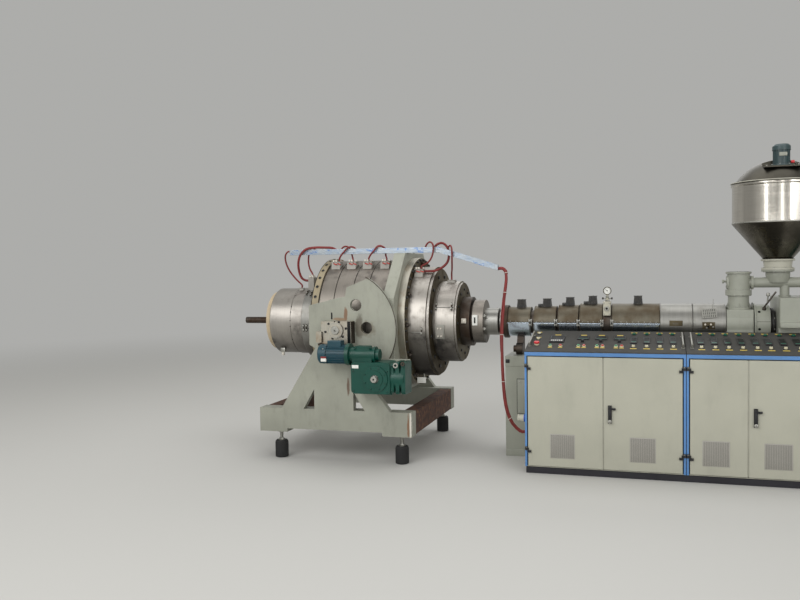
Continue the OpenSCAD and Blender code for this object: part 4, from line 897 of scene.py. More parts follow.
mesh = bmesh.new()
box_in(mesh, (-3.672, -0.178, 0.786), (-3.630, -0.150, 0.824), 0.003, METAL)
rod_in(mesh, (-3.651, -0.170, 0.786), (-3.651, -0.170, 0.760), 0.013, 20, CERAMIC, 0.002, 0.011)
box_in(mesh, (-2.073, -0.222, 1.047), (-2.035, -0.196, 1.085), 0.003, CERAMIC)
rod_in(mesh, (-2.054, -0.222, 1.066), (-2.054, -0.240, 1.060), 0.010, 20, CERAMIC, 0.002, 0.008)
box_in(mesh, (-1.991, -0.186, 1.028), (-1.948, -0.176, 1.112), 0.002, PLATE)
box_in(mesh, (-1.976, -0.1868, 1.046), (-1.963, -0.184, 1.094), 0.001, DARK)
settle("die_sensors", mesh, ("zinc", "ceramic", "dial_white", "dark_glass"), slot="terminal_plate")
print("heater boxes dressed:", len(BOXES) + 2)

# %% [markdown]
# The trunnion's cap is the eye of the die head: a turned disc with a ring of cap
# screws and a centre boss, and below it a dark bar with three screws. A dark
# line along the sector plate's arc is painted shadow, where the plate stands in
# front of the saddle plate.

# %% Trunnion and sector
TRUNNION = Vector((-2.945, -0.70, 1.024))
ARC_R, ARC_STEPS = 0.460, 40
for sign, name in ((-1, "front"), (1, "rear")):
    out = BACK * sign
    centre = Vector((TRUNNION.x, 0.740 * sign, TRUNNION.z))
    mesh, done = fasteners("trunnion_cap_" + name)
    turned_in(mesh, ring(0, 0.0015, 0.054, 0.058), centre, out, 72, BRIGHT)
    turned_in(mesh, [(0.005, 0.0), (0.011, 0.004), (0.011, 0.009), (0.008, 0.013), (0.008, 0.030), (0.005, 0.034)],
              centre, out, 48, BRIGHT)
    rod_in(mesh, centre + out * 0.008, centre + out * 0.0115, 0.0045, 16, HOLE)
    for step in range(6):
        cap_screw(mesh, upright(TRUNNION, 0.086, 0.066, 12 + 60 * step, 0.726 * sign), out, 0.0095, 0.006)
    for x in (-3.065, -2.992, -2.900):
        cap_screw(mesh, (x, 0.722 * sign, 0.912), out, 0.013, 0.010, OILY)
    near, far = sorted((0.702 * sign, 0.724 * sign))
    box_in(mesh, (-3.098, near, 0.903), (-2.822, far, 0.9195), 0.004, OILY)
    done()

# Painted shadow: a dark line along the sector plate's arc, for the gap in front of the saddle plate.
edge = [upright(TRUNNION, ARC_R, ARC_R, -31 + 92.5 * step / ARC_STEPS, -0.6395) for step in range(ARC_STEPS + 1)]
wires("sector_edge_shadows", [edge, [Vector((p.x, -p.y, p.z)) for p in edge]], 0.0032, ["dark_steel"])
print("sector edge in metres:", round(sum((b - a).length for a, b in zip(edge, edge[1:])), 3))

# %% [markdown]
# The reducer shows its bearing cover with a ring of screws, the bright shaft end
# with its centre hole, lifting eyes, long bolts through the ribs and a bare plate.
# The brake motor has its own cowl rings, a bare sticker and a cable entry.

# %% Reducer and brake motor
REDUCER = Vector((-2.570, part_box("worm_reducer")[0][1], 0.681))
HOUSING_Y = REDUCER.y + 0.018
mesh = bmesh.new()
for step in range(8):
    cap_screw(mesh, upright(REDUCER, 0.082, 0.082, 22.5 + 45 * step, HOUSING_Y - 0.012), FRONT, 0.006, 0.005)
turned_in(mesh, [(0, 0.0935), (0.0006, 0.0935), (0.0006, 0.0958), (0, 0.0958)],
          (REDUCER.x, HOUSING_Y - 0.012, REDUCER.z), FRONT, 72, BLACK)
for place in grid((-2.446, -2.405, -2.359), (HOUSING_Y + 0.016,), (0.590, 0.775)):
    cap_screw(mesh, place, FRONT, 0.0075, 0.008)
for x, z, size, part in ((-2.413, 0.783, 0.015, BRIGHT), (-2.359, 0.795, 0.011, OILY)):
    turned_in(mesh, ring(-0.005, 0.005, size - 0.005, size + 0.004), (x, HOUSING_Y + 0.004, z), BACK, 32, part)
for place in grid((-2.742, -2.478), (HOUSING_Y,), (0.587, 0.735)):
    cap_screw(mesh, place, FRONT, 0.007, 0.006)
for x in (-2.740, -2.620):
    stud_nut(mesh, (x, HOUSING_Y + 0.042, 0.905), UP, 0.009, 0.008, BLACK)
settle("reducer_screws", mesh, ("green_paint", *FASTENERS[1:]))

mesh = bmesh.new()
turned_in(mesh, [(-0.030, 0), (-0.030, 0.0245), (0.024, 0.0245), (0.027, 0.0215), (0.027, 0.007), (0.012, 0.006),
                 (0.012, 0)], REDUCER, FRONT, 48)
rod_in(mesh, REDUCER, REDUCER + FRONT * 0.013, 0.0062, 16, 1)
settle("reducer_shaft_end", mesh, ("zinc", "dark_glass"), slot=node_slot["reducer_shaft"])

mesh = bmesh.new()
box_in(mesh, (-2.752, HOUSING_Y - 0.002, 0.756), (-2.700, HOUSING_Y + 0.001, 0.780), 0.0008)
settle("reducer_plate_bare", mesh, ("dial_white",), slot="terminal_plate")

motor_low, motor_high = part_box("brake_motor")
MOTOR_Y, MOTOR_Z, MOTOR_R = (motor_low[1] + motor_high[1]) / 2, 0.851, 0.074
COWL, METAL, DARK, STICKER, CABLE = range(5)
mesh = bmesh.new()
for x in (motor_low[0] + 0.030, motor_low[0] + 0.062):
    turned_in(mesh, band(0, 0.004, MOTOR_R - 0.003, MOTOR_R + 0.0005), (x, MOTOR_Y, MOTOR_Z), RIGHT, 48, COWL)
for degrees in (35, 145, 215, 325):
    place = on_ring(motor_low[0] + 0.046, 0.072, degrees, MOTOR_Y, MOTOR_Z)
    rod_in(mesh, place, place + radial(degrees) * 0.006, 0.005, 6, METAL)
cowl_holes(mesh, motor_low[0] + 0.001, (0.022, 0.040, 0.056), 30, 400, -0.0015, 0.0045, DARK, MOTOR_Y, MOTOR_Z)
box_in(mesh, (-3.004, MOTOR_Y - 0.0715, 0.800), (-2.962, MOTOR_Y - 0.055, 0.824), 0.001, STICKER)
box_in(mesh, (-3.004, MOTOR_Y - 0.0740, 0.824), (-2.962, MOTOR_Y - 0.060, 0.838), 0.001, CABLE)
for place in grid((motor_low[0] + 0.084, motor_high[0] - 0.050), (MOTOR_Y - 0.028, MOTOR_Y + 0.028), (motor_high[2],)):
    rod_in(mesh, place - UP * 0.003, place + UP * 0.002, 0.004, 12, METAL)
settle("brake_motor_details", mesh, ("teal_paint", "zinc", "dark_glass", "dial_white", "red_wire"))
print("reducer shaft centre:", [round(v, 3) for v in REDUCER])

# %% [markdown]
# The desks carry the instruments. Their places were read from the photograph on
# the desk's own plane, as x along the machine and a distance up the slope, both
# in metres. A few small makers put down a label, a lamp, a knob or a meter.

# %% Instruments
INSTRUMENTS = ("black_plastic", "dark_glass", "yellow_label", "green_lens", "red_lens", "cream_lens", "zinc",
               "lamp_green", "dial_white", "display", "stop_red")
PLASTIC, GLASS, LABEL, GREEN, RED, CREAM, METAL, LAMP, WHITE, DISPLAY, STOP = range(11)
DESK_LOW = Vector((0, -0.714, 0.887))
UP_SLOPE = (Vector((0, -0.208, 0.994)) - DESK_LOW).normalized()
OFF_DESK = RIGHT.cross(UP_SLOPE)
DESK_TURN = Matrix((RIGHT, UP_SLOPE, OFF_DESK)).transposed().to_4x4()


def on_desk(x, up, lift):
    return DESK_LOW + RIGHT * x + UP_SLOPE * up + OFF_DESK * lift


def slab(mesh, x, up, size, material, lift=0.0, round_off=0.0):
    """A flat box lying on the desk; size is width, length up the slope and height."""
    place = Matrix.Translation(on_desk(x, up, lift + size[2] / 2)) @ DESK_TURN
    block_in(mesh, place, size, material, round_off)


def stub(mesh, x, up, radius, low, high, material, top=None):
    """A short round post standing on the desk between two heights."""
    rod_in(mesh, on_desk(x, up, low), on_desk(x, up, high), radius, 20, material, 0.0012, top)


def label(mesh, x, up, wide=0.044):
    slab(mesh, x, up, (wide, 0.017, 0.0012), LABEL)


def lamp(mesh, x, up, material):
    stub(mesh, x, up, 0.0165, 0, 0.005, PLASTIC)
    stub(mesh, x, up, 0.0135, 0.004, 0.014, material, 0.0115)


def push_button(mesh, x, up, material):
    label(mesh, x, up - 0.024, 0.030)
    stub(mesh, x, up, 0.0135, 0, 0.008, CREAM)
    stub(mesh, x, up, 0.0095, 0.007, 0.016, material)


def turn_knob(mesh, x, up, material=CREAM):
    stub(mesh, x, up, 0.0165, 0, 0.004, PLASTIC)
    stub(mesh, x, up, 0.0125, 0.003, 0.017, material, 0.0105)
    slab(mesh, x, up + 0.004, (0.004, 0.021, 0.002), PLASTIC, 0.0165)


def meter(mesh, x, up, wide, long):
    """A dark instrument with its glass and one lit line."""
    slab(mesh, x, up, (wide, long, 0.008), PLASTIC, 0, 0.0015)
    slab(mesh, x, up + long * 0.12, (wide * 0.82, long * 0.56, 0.001), GLASS, 0.0078)
    slab(mesh, x, up - long * 0.30, (wide * 0.74, long * 0.09, 0.001), DISPLAY, 0.0078)


def grab_bar(mesh, x):
    rod_in(mesh, on_desk(x, 0.105, 0.027), on_desk(x, 0.400, 0.027), 0.0072, 20, METAL, 0.002)
    for up in (0.117, 0.388):
        stub(mesh, x, up, 0.0085, 0, 0.028, METAL)
        stub(mesh, x, up, 0.013, 0, 0.003, METAL)


mesh = bmesh.new()
for x in (-1.476, -0.411, -0.353):
    grab_bar(mesh, x)
label(mesh, -1.445, 0.470, 0.036)
lamp(mesh, -1.442, 0.425, CREAM)
label(mesh, -1.436, 0.335, 0.036)
turn_knob(mesh, -1.433, 0.285)
stub(mesh, -1.428, 0.150, 0.018, 0, 0.008, CREAM)
stub(mesh, -1.428, 0.150, 0.010, 0.007, 0.016, METAL)
stub(mesh, -1.428, 0.150, 0.021, 0.014, 0.026, STOP, 0.019)
slab(mesh, -1.292, 0.282, (0.104, 0.146, 0.010), PLASTIC, 0, 0.002)
slab(mesh, -1.292, 0.308, (0.088, 0.070, 0.001), GLASS, 0.0098)
for step in range(6):
    slab(mesh, -1.328 + 0.0145 * step, 0.236, (0.009, 0.016, 0.002), WHITE, 0.0096)
label(mesh, -1.297, 0.402)
push_button(mesh, -1.326, 0.118, GREEN)
push_button(mesh, -1.253, 0.118, RED)
for x in (-1.106, -0.976, -0.844):
    label(mesh, x, 0.402)
    meter(mesh, x, 0.322, 0.086, 0.078)
    turn_knob(mesh, x, 0.236, PLASTIC)
    push_button(mesh, x - 0.020, 0.122, GREEN)
    push_button(mesh, x + 0.019, 0.122, RED)
columns = (-0.745, -0.655, -0.566, -0.476, -0.292, -0.202, -0.115, -0.026, 0.065, 0.149, 0.240, 0.332)
for x in columns:
    label(mesh, x, 0.474)
    lamp(mesh, x, 0.428, LAMP)
    meter(mesh, x, 0.272, 0.044, 0.142)
    turn_knob(mesh, x, 0.122)
    label(mesh, x, 0.088)
settle("console_instruments", mesh, INSTRUMENTS, slot="black_plastic")
print("instrument columns:", len(columns))

# %% [markdown]
# Low on every door is a grille of fine slots. The swing handles have a boss, a
# round lock and, on the first, a key left in it. The hinges get their leaves and
# small screws, and the first cabinet's side has its gland and a blue socket.

# %% Doors, handles and sockets
DOOR_Y = -0.7122
HINGE_Y = -0.7205
GRILLES = {"door_1": -1.3142, "door_2": -0.7648, "door_3": -0.2878, "door_4": 0.1008}
for name, left in GRILLES.items():
    mesh = bmesh.new()
    box_in(mesh, (left - 0.005, DOOR_Y, 0.118), (left + 0.170, -0.7095, 0.293), 0.0008)
    for row in range(29):
        for column in range(11):
            low = Vector((left + 0.0015 + 0.0149 * column, -0.7126, 0.1235 + 0.0057 * row))
            box_in(mesh, low, low + Vector((0.0122, 0.0012, 0.0026)), material=1)
    settle(name + "_grille", mesh, ("grille_grey", "grille_slot"), name, "cabinet_paint")

BOSS, METAL, DARK = range(3)
for name in ("handle_1", "handle_2"):
    foot = Vector(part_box(name)[0]) + RIGHT * 0.013
    mesh = bmesh.new()
    box_in(mesh, foot + Vector((-0.0085, -0.003, 0.030)), foot + Vector((0.0085, 0.004, 0.100)), 0.002)
    for x, y, z, radius, sides, round_off, part in (
            (0, -0.004, 0.112, 0.0115, 32, 0.0015, BOSS), (0.028, -0.004, 0.104, 0.008, 24, 0.0015, BOSS),
            (0, -0.0055, 0.016, 0.0125, 32, 0.001, METAL)):
        rod_in(mesh, foot + Vector((x, y, z)), foot + Vector((x, 0.006, z)), radius, sides, part, round_off)
    box_in(mesh, foot + Vector((-0.0008, -0.0062, 0.010)), foot + Vector((0.0008, -0.005, 0.022)), material=DARK)
    if name == "handle_1":
        box_in(mesh, foot + Vector((-0.0055, -0.030, 0.015)), foot + Vector((0.0055, -0.005, 0.017)), 0.0005, METAL)
        turned_in(mesh, ring(-0.0008, 0.0008, 0.009, 0.011), foot + Vector((0, -0.026, 0.005)), RIGHT, 24, METAL)
    settle(name + "_lock", mesh, ("black_plastic", "zinc", "dark_glass"), node_body[name], "black_plastic")

mesh, done = fasteners("hinge_screws")
for place in grid((-1.487, -0.409, -0.383, 0.377), (HINGE_Y,), (0.1777, 0.7767)):
    box_in(mesh, place - Vector((0.0095, 0, 0.0080)), (place.x + 0.0095, DOOR_Y, place.z + 0.0180), 0.001)
    for rise in (-0.001, 0.011):
        cap_screw(mesh, place + UP * rise, FRONT, 0.0034, 0.001, BRIGHT)
done()

SOCKET = Vector((-1.498, -0.640, 0.387))
mesh = bmesh.new()
turned_in(mesh, [(0, 0.017), (0, 0.023), (-0.012, 0.021), (-0.012, 0.0165)], BUNDLE[-1], RIGHT, 6, 0)
turned_in(mesh, [(0, 0), (0, 0.030), (-0.010, 0.030), (-0.012, 0.028), (-0.016, 0.028), (-0.016, 0)], SOCKET,
          RIGHT, 32, 1)
turned_in(mesh, [(-0.016, 0), (-0.016, 0.025), (-0.050, 0.023), (-0.052, 0.027), (-0.060, 0.027), (-0.062, 0.024),
                 (-0.062, 0.016), (-0.054, 0.015), (-0.054, 0)], SOCKET, RIGHT, 32, 2)
settle("cabinet_sockets", mesh, ("black_plastic", "blue_socket", "outlet_cream"), slot="black_plastic")

mesh = bmesh.new()
for x in (-0.948, -0.003):
    box_in(mesh, (x - 0.0022, -0.7112, 0.060), (x + 0.0022, -0.700, 0.843), 0.0006)
settle("door_gap_strips", mesh, ("cabinet_paint",))
print("grilles:", len(GRILLES))

# %% [markdown]
# The barrel's sheet covers are screwed together along their lips, with a bright
# clasp at every joint. Each cover has a rolled bead at both ends and a black
# terminal box on top; three of them have a small probe head as well.

# %% Covers of the barrel
# Each row holds a cover's left end, right end and radius.
COVERS = ((-1.720, -1.539, 0.118), (-1.512, -1.338, 0.124), (-1.323, -1.165, 0.134), (-1.157, -0.983, 0.144),
          (-0.914, -0.562, 0.144))
PROBED = (-1.512, -1.323, -1.157)
CLASPS = ((-1.549, -1.523, 0.121), (-1.350, -1.324, 0.128), (-1.176, -1.150, 0.139), (-0.998, -0.974, 0.144),
          (-0.922, -0.900, 0.144))
# Each row holds the lower and upper height, radius, sides and rounding.
LIP_SCREW = ((1.0565, 1.0585, 0.0062, 16, 0.0), (1.0580, 1.0630, 0.0044, 6, 0.0004), (1.0435, 1.0380, 0.0048, 6, 0.0))
COVER_PARTS = ("tinted_cover", "cover_steel", "black_screw", "zinc", "dull_brown", "dark_glass", "terminal_box",
               "ceramic")
TINTED, SHEET, SCREW, ZINC, BROWN, GLASSY, BOX, POT = range(8)

mesh = bmesh.new()
for low, high, radius in COVERS:
    for x in (low + 0.0045, high - 0.0045):
        turned_in(mesh, [(-0.0035, radius - 0.001), (-0.002, radius + 0.0015), (0.002, radius + 0.0015),
                         (0.0035, radius - 0.001)], (x, 0, AXIS_Z), RIGHT, 72, TINTED)
    for lip_y in (-radius - 0.0045, radius + 0.0045):
        for x in spaced(low + 0.026, high - 0.026, 0.043):
            for start, end, size, sides, round_off in LIP_SCREW:
                rod_in(mesh, (x, lip_y, start), (x, lip_y, end), size, sides, ZINC, round_off)
    top = AXIS_Z + radius
    if low in PROBED:
        x = low + 0.045
        box_in(mesh, (x - 0.019, -0.032, top - 0.006), (x + 0.019, 0.010, top + 0.019), 0.004, BOX)
        rod_in(mesh, (x, -0.032, top + 0.008), (x, -0.042, top + 0.008), 0.007, 20, SCREW, 0.001)
    for place in grid((low + 0.55 * (high - low),), (-0.026, 0.026), (top + 0.060,)):
        rod_in(mesh, place, place + UP * 0.0035, 0.005, 16, ZINC)
for left, right, radius in CLASPS:
    middle = (left + right) / 2
    for side in (-1, 1):
        near, far = sorted((side * (radius + 0.010), side * (radius + 0.015)))
        box_in(mesh, (left, near, 1.022), (middle - 0.003, far, 1.078), 0.0016, SHEET)
        box_in(mesh, (middle + 0.003, near, 1.022), (right, far, 1.078), 0.0016, SHEET)
        box_in(mesh, (left + 0.002, near, 1.045), (right - 0.002, far + 0.001, 1.055), 0.001, GLASSY)
        pin_y = side * (radius + 0.016)
        for z in (1.033, 1.067):
            rod_in(mesh, (left + 0.001, pin_y, z), (right - 0.001, pin_y, z), 0.0042, 16, ZINC, 0.0006)
settle("cover_details", mesh, COVER_PARTS, slot="dark_steel")
print("covers dressed:", len(COVERS))

# %% [markdown]
# The two plain steel covers end in beads. The left one has a worn patch where a
# plate was, the right one an opening with its terminals, and above it the cover
# plate of that opening hangs from a wire. The vent has its port, handles and gauge.

# %% Steel covers and vent
STEEL_COVERS = ((-0.559, -0.329), (-0.326, -0.096))
STEEL_R = 0.144
VENT_X, HANDLE_Z, GAUGE_Z = -0.9485, 1.237, 1.296
mesh = bmesh.new()
for low, high in STEEL_COVERS:
    for x in (low + 0.003, high - 0.003):
        turned_in(mesh, [(-0.003, 0.1435), (-0.002, 0.1452), (0.002, 0.1452), (0.003, 0.1435)], (x, 0, AXIS_Z),
                  RIGHT, 96, SHEET)
    bent_patch(mesh, (low + 0.006, high - 0.006), STEEL_R, (200, 203), 0.0012, SHEET)
for ends, angles, lift, part in (((-0.494, -0.399), (-7, 9), 0.0008, BROWN),
                                 ((-0.470, -0.430), (-3, 3), 0.0013, TINTED),
                                 ((-0.268, -0.167), (-19, 8), 0.0010, SHEET),
                                 ((-0.262, -0.173), (-16, 5), 0.0016, BROWN)):
    bent_patch(mesh, ends, STEEL_R, angles, lift, part)
for x, degrees, part in ((-0.242, -2, POT), (-0.220, -8, GLASSY), (-0.202, -2, POT), (-0.188, -9, ZINC),
                         (-0.232, -12, ZINC)):
    rod_in(mesh, on_ring(x, 0.142, degrees), on_ring(x, 0.156, degrees), 0.008, 16, part, 0.001, 0.006)
plate_turn = Matrix((RIGHT, radial(121), radial(31))).transposed().to_4x4() @ Matrix.Rotation(0.09, 4, "Z")
plate = Matrix.Translation(on_ring(-0.212, 0.148, 31)) @ plate_turn
block_in(mesh, plate, (0.104, 0.078, 0.003), ZINC)
for column in range(7):
    for row in range(3):
        place = plate @ Matrix.Translation((-0.039 + 0.013 * column, -0.024 + 0.024 * row, 0.0014))
        block_in(mesh, place, (0.0035, 0.018, 0.001), GLASSY)
hang = [on_ring(-0.205 + 0.0003 * degrees, 0.147, degrees) for degrees in (46, 58, 70, 82, 90)]
hang.append(hang[-1] + Vector((0.002, 0, 0.030)))
for start, end in zip(hang, hang[1:]):
    rod_in(mesh, start, end, 0.002, 8, ZINC)

turned_in(mesh, [(-0.002, 0.019), (0.010, 0.019), (0.012, 0.017), (0.012, 0.010), (0.002, 0.009), (0.002, 0)],
          (VENT_X, -0.156, 1.163), FRONT, 40, ZINC)
rod_in(mesh, (VENT_X, -0.1575, 1.163), (VENT_X, -0.1590, 1.163), 0.0085, 24, GLASSY)
for place in grid((VENT_X - 0.019, VENT_X + 0.019), (-0.155,), (1.120, 1.203)):
    rod_in(mesh, place, place + FRONT * 0.005, 0.0048, 16, ZINC, 0.0006)
rod_in(mesh, (VENT_X, -0.060, 1.213), (VENT_X, -0.060, 1.226), 0.020, 6, ZINC, 0.001)
rod_in(mesh, (VENT_X, -0.060, 1.244), (VENT_X, -0.060, 1.254), 0.015, 6, ZINC, 0.001)
for low, high, radius, sides, round_off, part in ((-0.034, 0.034, 0.0045, 16, 0.0, ZINC),
                                                  (-0.040, -0.028, 0.0085, 20, 0.002, SCREW),
                                                  (0.028, 0.040, 0.0085, 20, 0.002, SCREW)):
    rod_in(mesh, (VENT_X + low, -0.060, HANDLE_Z), (VENT_X + high, -0.060, HANDLE_Z), radius, sides, part, round_off)
turned_in(mesh, [(-0.0005, 0.0255), (0.0025, 0.0265), (0.0035, 0.0290), (0.0015, 0.0312), (-0.0060, 0.0312),
                 (-0.0060, 0.0295)], (VENT_X, -0.074, GAUGE_Z), FRONT, 64, BROWN)
dial = Vector((VENT_X, -0.0742, GAUGE_Z))
for step in range(11):
    turn = math.radians(-45 + 27 * step)
    way = Vector((-math.cos(turn), 0, math.sin(turn)))
    rod_in(mesh, dial + way * 0.019, dial + way * 0.0235, 0.0007, 6, GLASSY)
rod_in(mesh, (VENT_X + 0.004, -0.0750, 1.293), (VENT_X - 0.015, -0.0750, 1.307), 0.0012, 6, GLASSY)
rod_in(mesh, dial, dial + FRONT * 0.0023, 0.0035, 16, GLASSY)
settle("steel_cover_details", mesh, COVER_PARTS, slot="dark_steel")
print("vent gauge height:", GAUGE_Z)

# %% [markdown]
# Behind the covers come the feed throat, the bearing housing, the coupling and the
# gearbox. They get their flange bolts, seams, plugs, a lever and lifting eyes, and a
# dark ring painted as the shadow at the bearing flange's step.

# %% Throat, gearbox and motors
HOPPER_X, DOSING_Z = 0.269, 1.350
pipe_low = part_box("feed_throat")[1][2]
gear_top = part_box("gearbox")[1][2]


def bolt_ring(mesh, centre, axis, radius, count, size, material=BRIGHT):
    """Hexagon bolts evenly round an axis."""
    out = axis.orthogonal().normalized()
    for step in range(count):
        place = Vector(centre) + (Matrix.Rotation(math.tau * (step + 0.5) / count, 3, axis) @ out) * radius
        rod_in(mesh, place - axis * 0.001, place + axis * 0.002, size * 1.25, 20, material)
        rod_in(mesh, place, place + axis * size * 0.8, size, 6, material, size * 0.1)


mesh, done = fasteners("throat_bolts")
# Painted shadow: a thin dark ring on the bearing flange's rim, at its step.
turned_in(mesh, band(0, 0.0045, 0.1495, 0.1508), (0.0935, 0, AXIS_Z), RIGHT, 96, HOLE)
for degrees in (39, -16, 141, 196):
    rod_in(mesh, on_ring(0.131, 0.136, degrees), on_ring(0.131, 0.1392, degrees), 0.0095, 24, HOLE)
for side in (7, 173):
    bent_patch(mesh, (0.113, 0.204), 0.138, (side - 0.5, side + 0.5), 0.0012, OILY)
rod_in(mesh, (0.166, -0.088, 1.150), (0.166, -0.092, 1.172), 0.014, 24, OILY, 0.001, 0.011)
rod_in(mesh, (0.158, -0.094, 1.160), (0.243, -0.116, 1.285), 0.0062, 16, OILY, 0.002)
rod_in(mesh, (0.186, -0.101, 1.200), (0.190, -0.110, 1.258), 0.0050, 16, BRIGHT)
rod_in(mesh, (0.190, -0.110, 1.252), (0.191, -0.112, 1.276), 0.013, 24, BRIGHT, 0.004, 0.011)
for centre, way, radius, count, size, part in (
        ((0.235, 0, AXIS_Z), RIGHT, 0.1040, 8, 0.0060, BRIGHT),
        ((0, 0, pipe_low + 0.016), UP, 0.0825, 8, 0.0062, BRIGHT), ((0, 0, 1.296), UP, 0.0860, 8, 0.0055, BRIGHT),
        ((0, 0, 1.256), -UP, 0.0835, 8, 0.0055, BRIGHT), ((0, 0, 1.418), -UP, 0.0850, 8, 0.0045, BRIGHT),
        ((HOPPER_X, 0, 1.430), -UP, 0.0985, 8, 0.0065, BRIGHT), ((HOPPER_X, 0, 1.457), UP, 0.1040, 8, 0.0058, BRIGHT),
        ((0.443, 0, DOSING_Z), -RIGHT, 0.0510, 6, 0.0060, BRIGHT),
        ((0.839, 0, AXIS_Z), RIGHT, 0.1905, 16, 0.0052, OILY)):
    bolt_ring(mesh, centre, way, radius, count, size, part)
for place in grid(spaced(0.430, 0.773, 0.082), (-0.264, 0.264), (1.070,)):
    stud_nut(mesh, place, UP, 0.0085, 0.008, OILY)
for place in grid((0.470, 0.740), (-0.170, 0.170), (gear_top,)):
    rod_in(mesh, place - UP * 0.001, place + UP * 0.008, 0.014, 24, OILY, 0.001, 0.012)
    turned_in(mesh, ring(-0.005, 0.005, 0.010, 0.019), place + UP * 0.026, BACK, 32, OILY)
rod_in(mesh, (0.560, 0.060, gear_top - 0.001), (0.560, 0.060, gear_top + 0.030), 0.016, 24, BRIGHT, 0.003, 0.013)
for place in grid((0.881, 0.937, 1.191, 1.247), (-0.178, 0.178), (0.940,)):
    stud_nut(mesh, place, UP, 0.010, 0.009, OILY)
done()
print("gearbox top:", round(gear_top, 3))

# %% [markdown]
# Paint covers most of what is left: the gussets of the feed pipe, the plates and
# sight glass of the gearbox, the cowls of the motors and the hopper's fittings.

# %% Painted fittings of the drive and hopper
DRIVE_PARTS = ("machine_paint", "zinc", "dark_glass", "dial_white", "motor_blue", "green_paint", "stop_red",
               "outlet_cream", "black_screw")
PAINT, BARE, DARK, PLATE, BLUE, GREENISH, SIGNAL, PALE, BLACKED = range(9)
STIRRER = Vector((HOPPER_X, -0.155, 2.174))
mesh = bmesh.new()
for way in (RIGHT, BACK, -RIGHT, FRONT):
    across = UP.cross(way) * 0.003
    hull_in(mesh, [way * out + UP * (pipe_low + rise) + across * side for side in (-1, 1)
                   for out, rise in ((0.070, 0.015), (0.090, 0.015), (0.070, 0.060))], PAINT)
rod_in(mesh, (-0.066, 0, DOSING_Z), (-0.084, 0, DOSING_Z), 0.050, 48, PAINT, 0.004)
bolt_ring(mesh, (-0.084, 0, DOSING_Z), -RIGHT, 0.040, 6, 0.0045, BARE)
turned_in(mesh, [(0, 0.068), (0.001, 0.070), (0.001, 0.072), (0, 0.074)], (0, 0, 1.432), UP, 64, DARK)
for low_x, high_x in ((0.292, 0.490), (0.568, 0.766)):
    box_in(mesh, (low_x, 0.249, 1.095), (high_x, 0.253, 1.205), 0.002, PAINT)
for side in (-1, 1):
    rod_in(mesh, (0.700, 0.249 * side, 1.110), (0.700, 0.262 * side, 1.110), 0.026, 40, BARE, 0.002)
    rod_in(mesh, (0.700, 0.260 * side, 1.110), (0.700, 0.2635 * side, 1.110), 0.018, 32, DARK)
cowl_holes(mesh, 1.3685, (0.045, 0.075, 0.105, 0.135), 30, 260, 0.002, 0.0085, DARK)
for low, high, round_off, part in (
        ((0.520, -0.2535, 1.110), (0.630, -0.2490, 1.180), 0.001, PLATE),
        ((0.925, -0.094, 1.215), (1.113, 0.094, 1.222), 0.002, BLUE),
        ((0.923, -0.096, 1.3235), (1.115, 0.096, 1.3275), 0.003, BLUE),
        ((0.985, -0.0925, 1.250), (1.055, -0.0895, 1.295), 0.001, PLATE),
        (STIRRER + Vector((-0.022, -0.0605, 0.078)), STIRRER + Vector((0.030, -0.0570, 0.104)), 0.001, PAINT),
        (STIRRER + Vector((0.058, -0.030, 0.028)), STIRRER + Vector((0.084, 0.004, 0.048)), 0.005, SIGNAL)):
    box_in(mesh, low, high, round_off, part)
rod_in(mesh, (1.000, 0.088, 1.262), (1.000, 0.118, 1.262), 0.020, 6, BLACKED, 0.002, 0.017)
for low_x, radius in ((0.4725, 0.0705), (0.5185, 0.0612), (0.6690, 0.0612)):
    turned_in(mesh, band(0, 0.006, radius - 0.002, radius + 0.0015), (low_x, 0, DOSING_Z), RIGHT, 48, GREENISH)
for degrees in range(0, 360, 15):
    start, end = (on_ring(x, 0.0595, degrees, z=DOSING_Z) for x in (0.530, 0.660))
    rod_in(mesh, start, end, 0.0028, 6, GREENISH)
cowl_holes(mesh, 0.7085, (0.030,), 45, 0, 0.0015, 0.008, DARK, z=DOSING_Z)
for places, radius, high in ((grid((0.945, 1.093), (-0.078, 0.078), (1.326,)), 0.006, 0.005),
                             (grid((0.549, 0.609), (-0.024,), (1.441,)), 0.004, 0.005),
                             (grid((0.164, 0.374), (-0.223, -0.089), (2.183,)), 0.0075, 0.007)):
    for place in places:
        rod_in(mesh, place, place + UP * high, radius, 6, BARE)
turned_in(mesh, band(0, 0.006, 0.0590, 0.0622), STIRRER + UP * 0.122, UP, 48, BLUE)
bolt_ring(mesh, STIRRER + UP * 0.022, UP, 0.064, 6, 0.0048, BARE)
rod_in(mesh, STIRRER + Vector((0.070, -0.010, 0.046)), STIRRER + Vector((0.122, 0.050, 0.010)), 0.005, 12, BARE)
for z, inner, high, slope, lift, sides, part in ((2.0545, 0.3155, 0.012, 0.002, 0.0025, 128, PALE),
                                                 (1.7835, 0.3150, 0.009, 0.002, 0.0025, 128, BARE),
                                                 (1.509, 0.1145, 0.012, 0.003, 0.002, 96, PALE)):
    turned_in(mesh, [(0, inner), (slope, inner + lift), (high - slope, inner + lift), (high, inner)],
              (HOPPER_X, 0, z), UP, sides, part)
turned_in(mesh, [(0, 0.300), (0, 0.324), (0.003, 0.3255), (0.006, 0.324), (0.006, 0.300)], (HOPPER_X, 0, 2.0795), UP,
          128, PALE)
settle("drive_fittings", mesh, DRIVE_PARTS)
print("stirrer at:", [round(v, 3) for v in STIRRER])

# %% [markdown]
# The base has a cleaning hatch at its left end and screwed panels along the back.
# The cabinets have louvres in the back and a plain panel on each end. The backs
# don't show in the photograph and are kept plain.

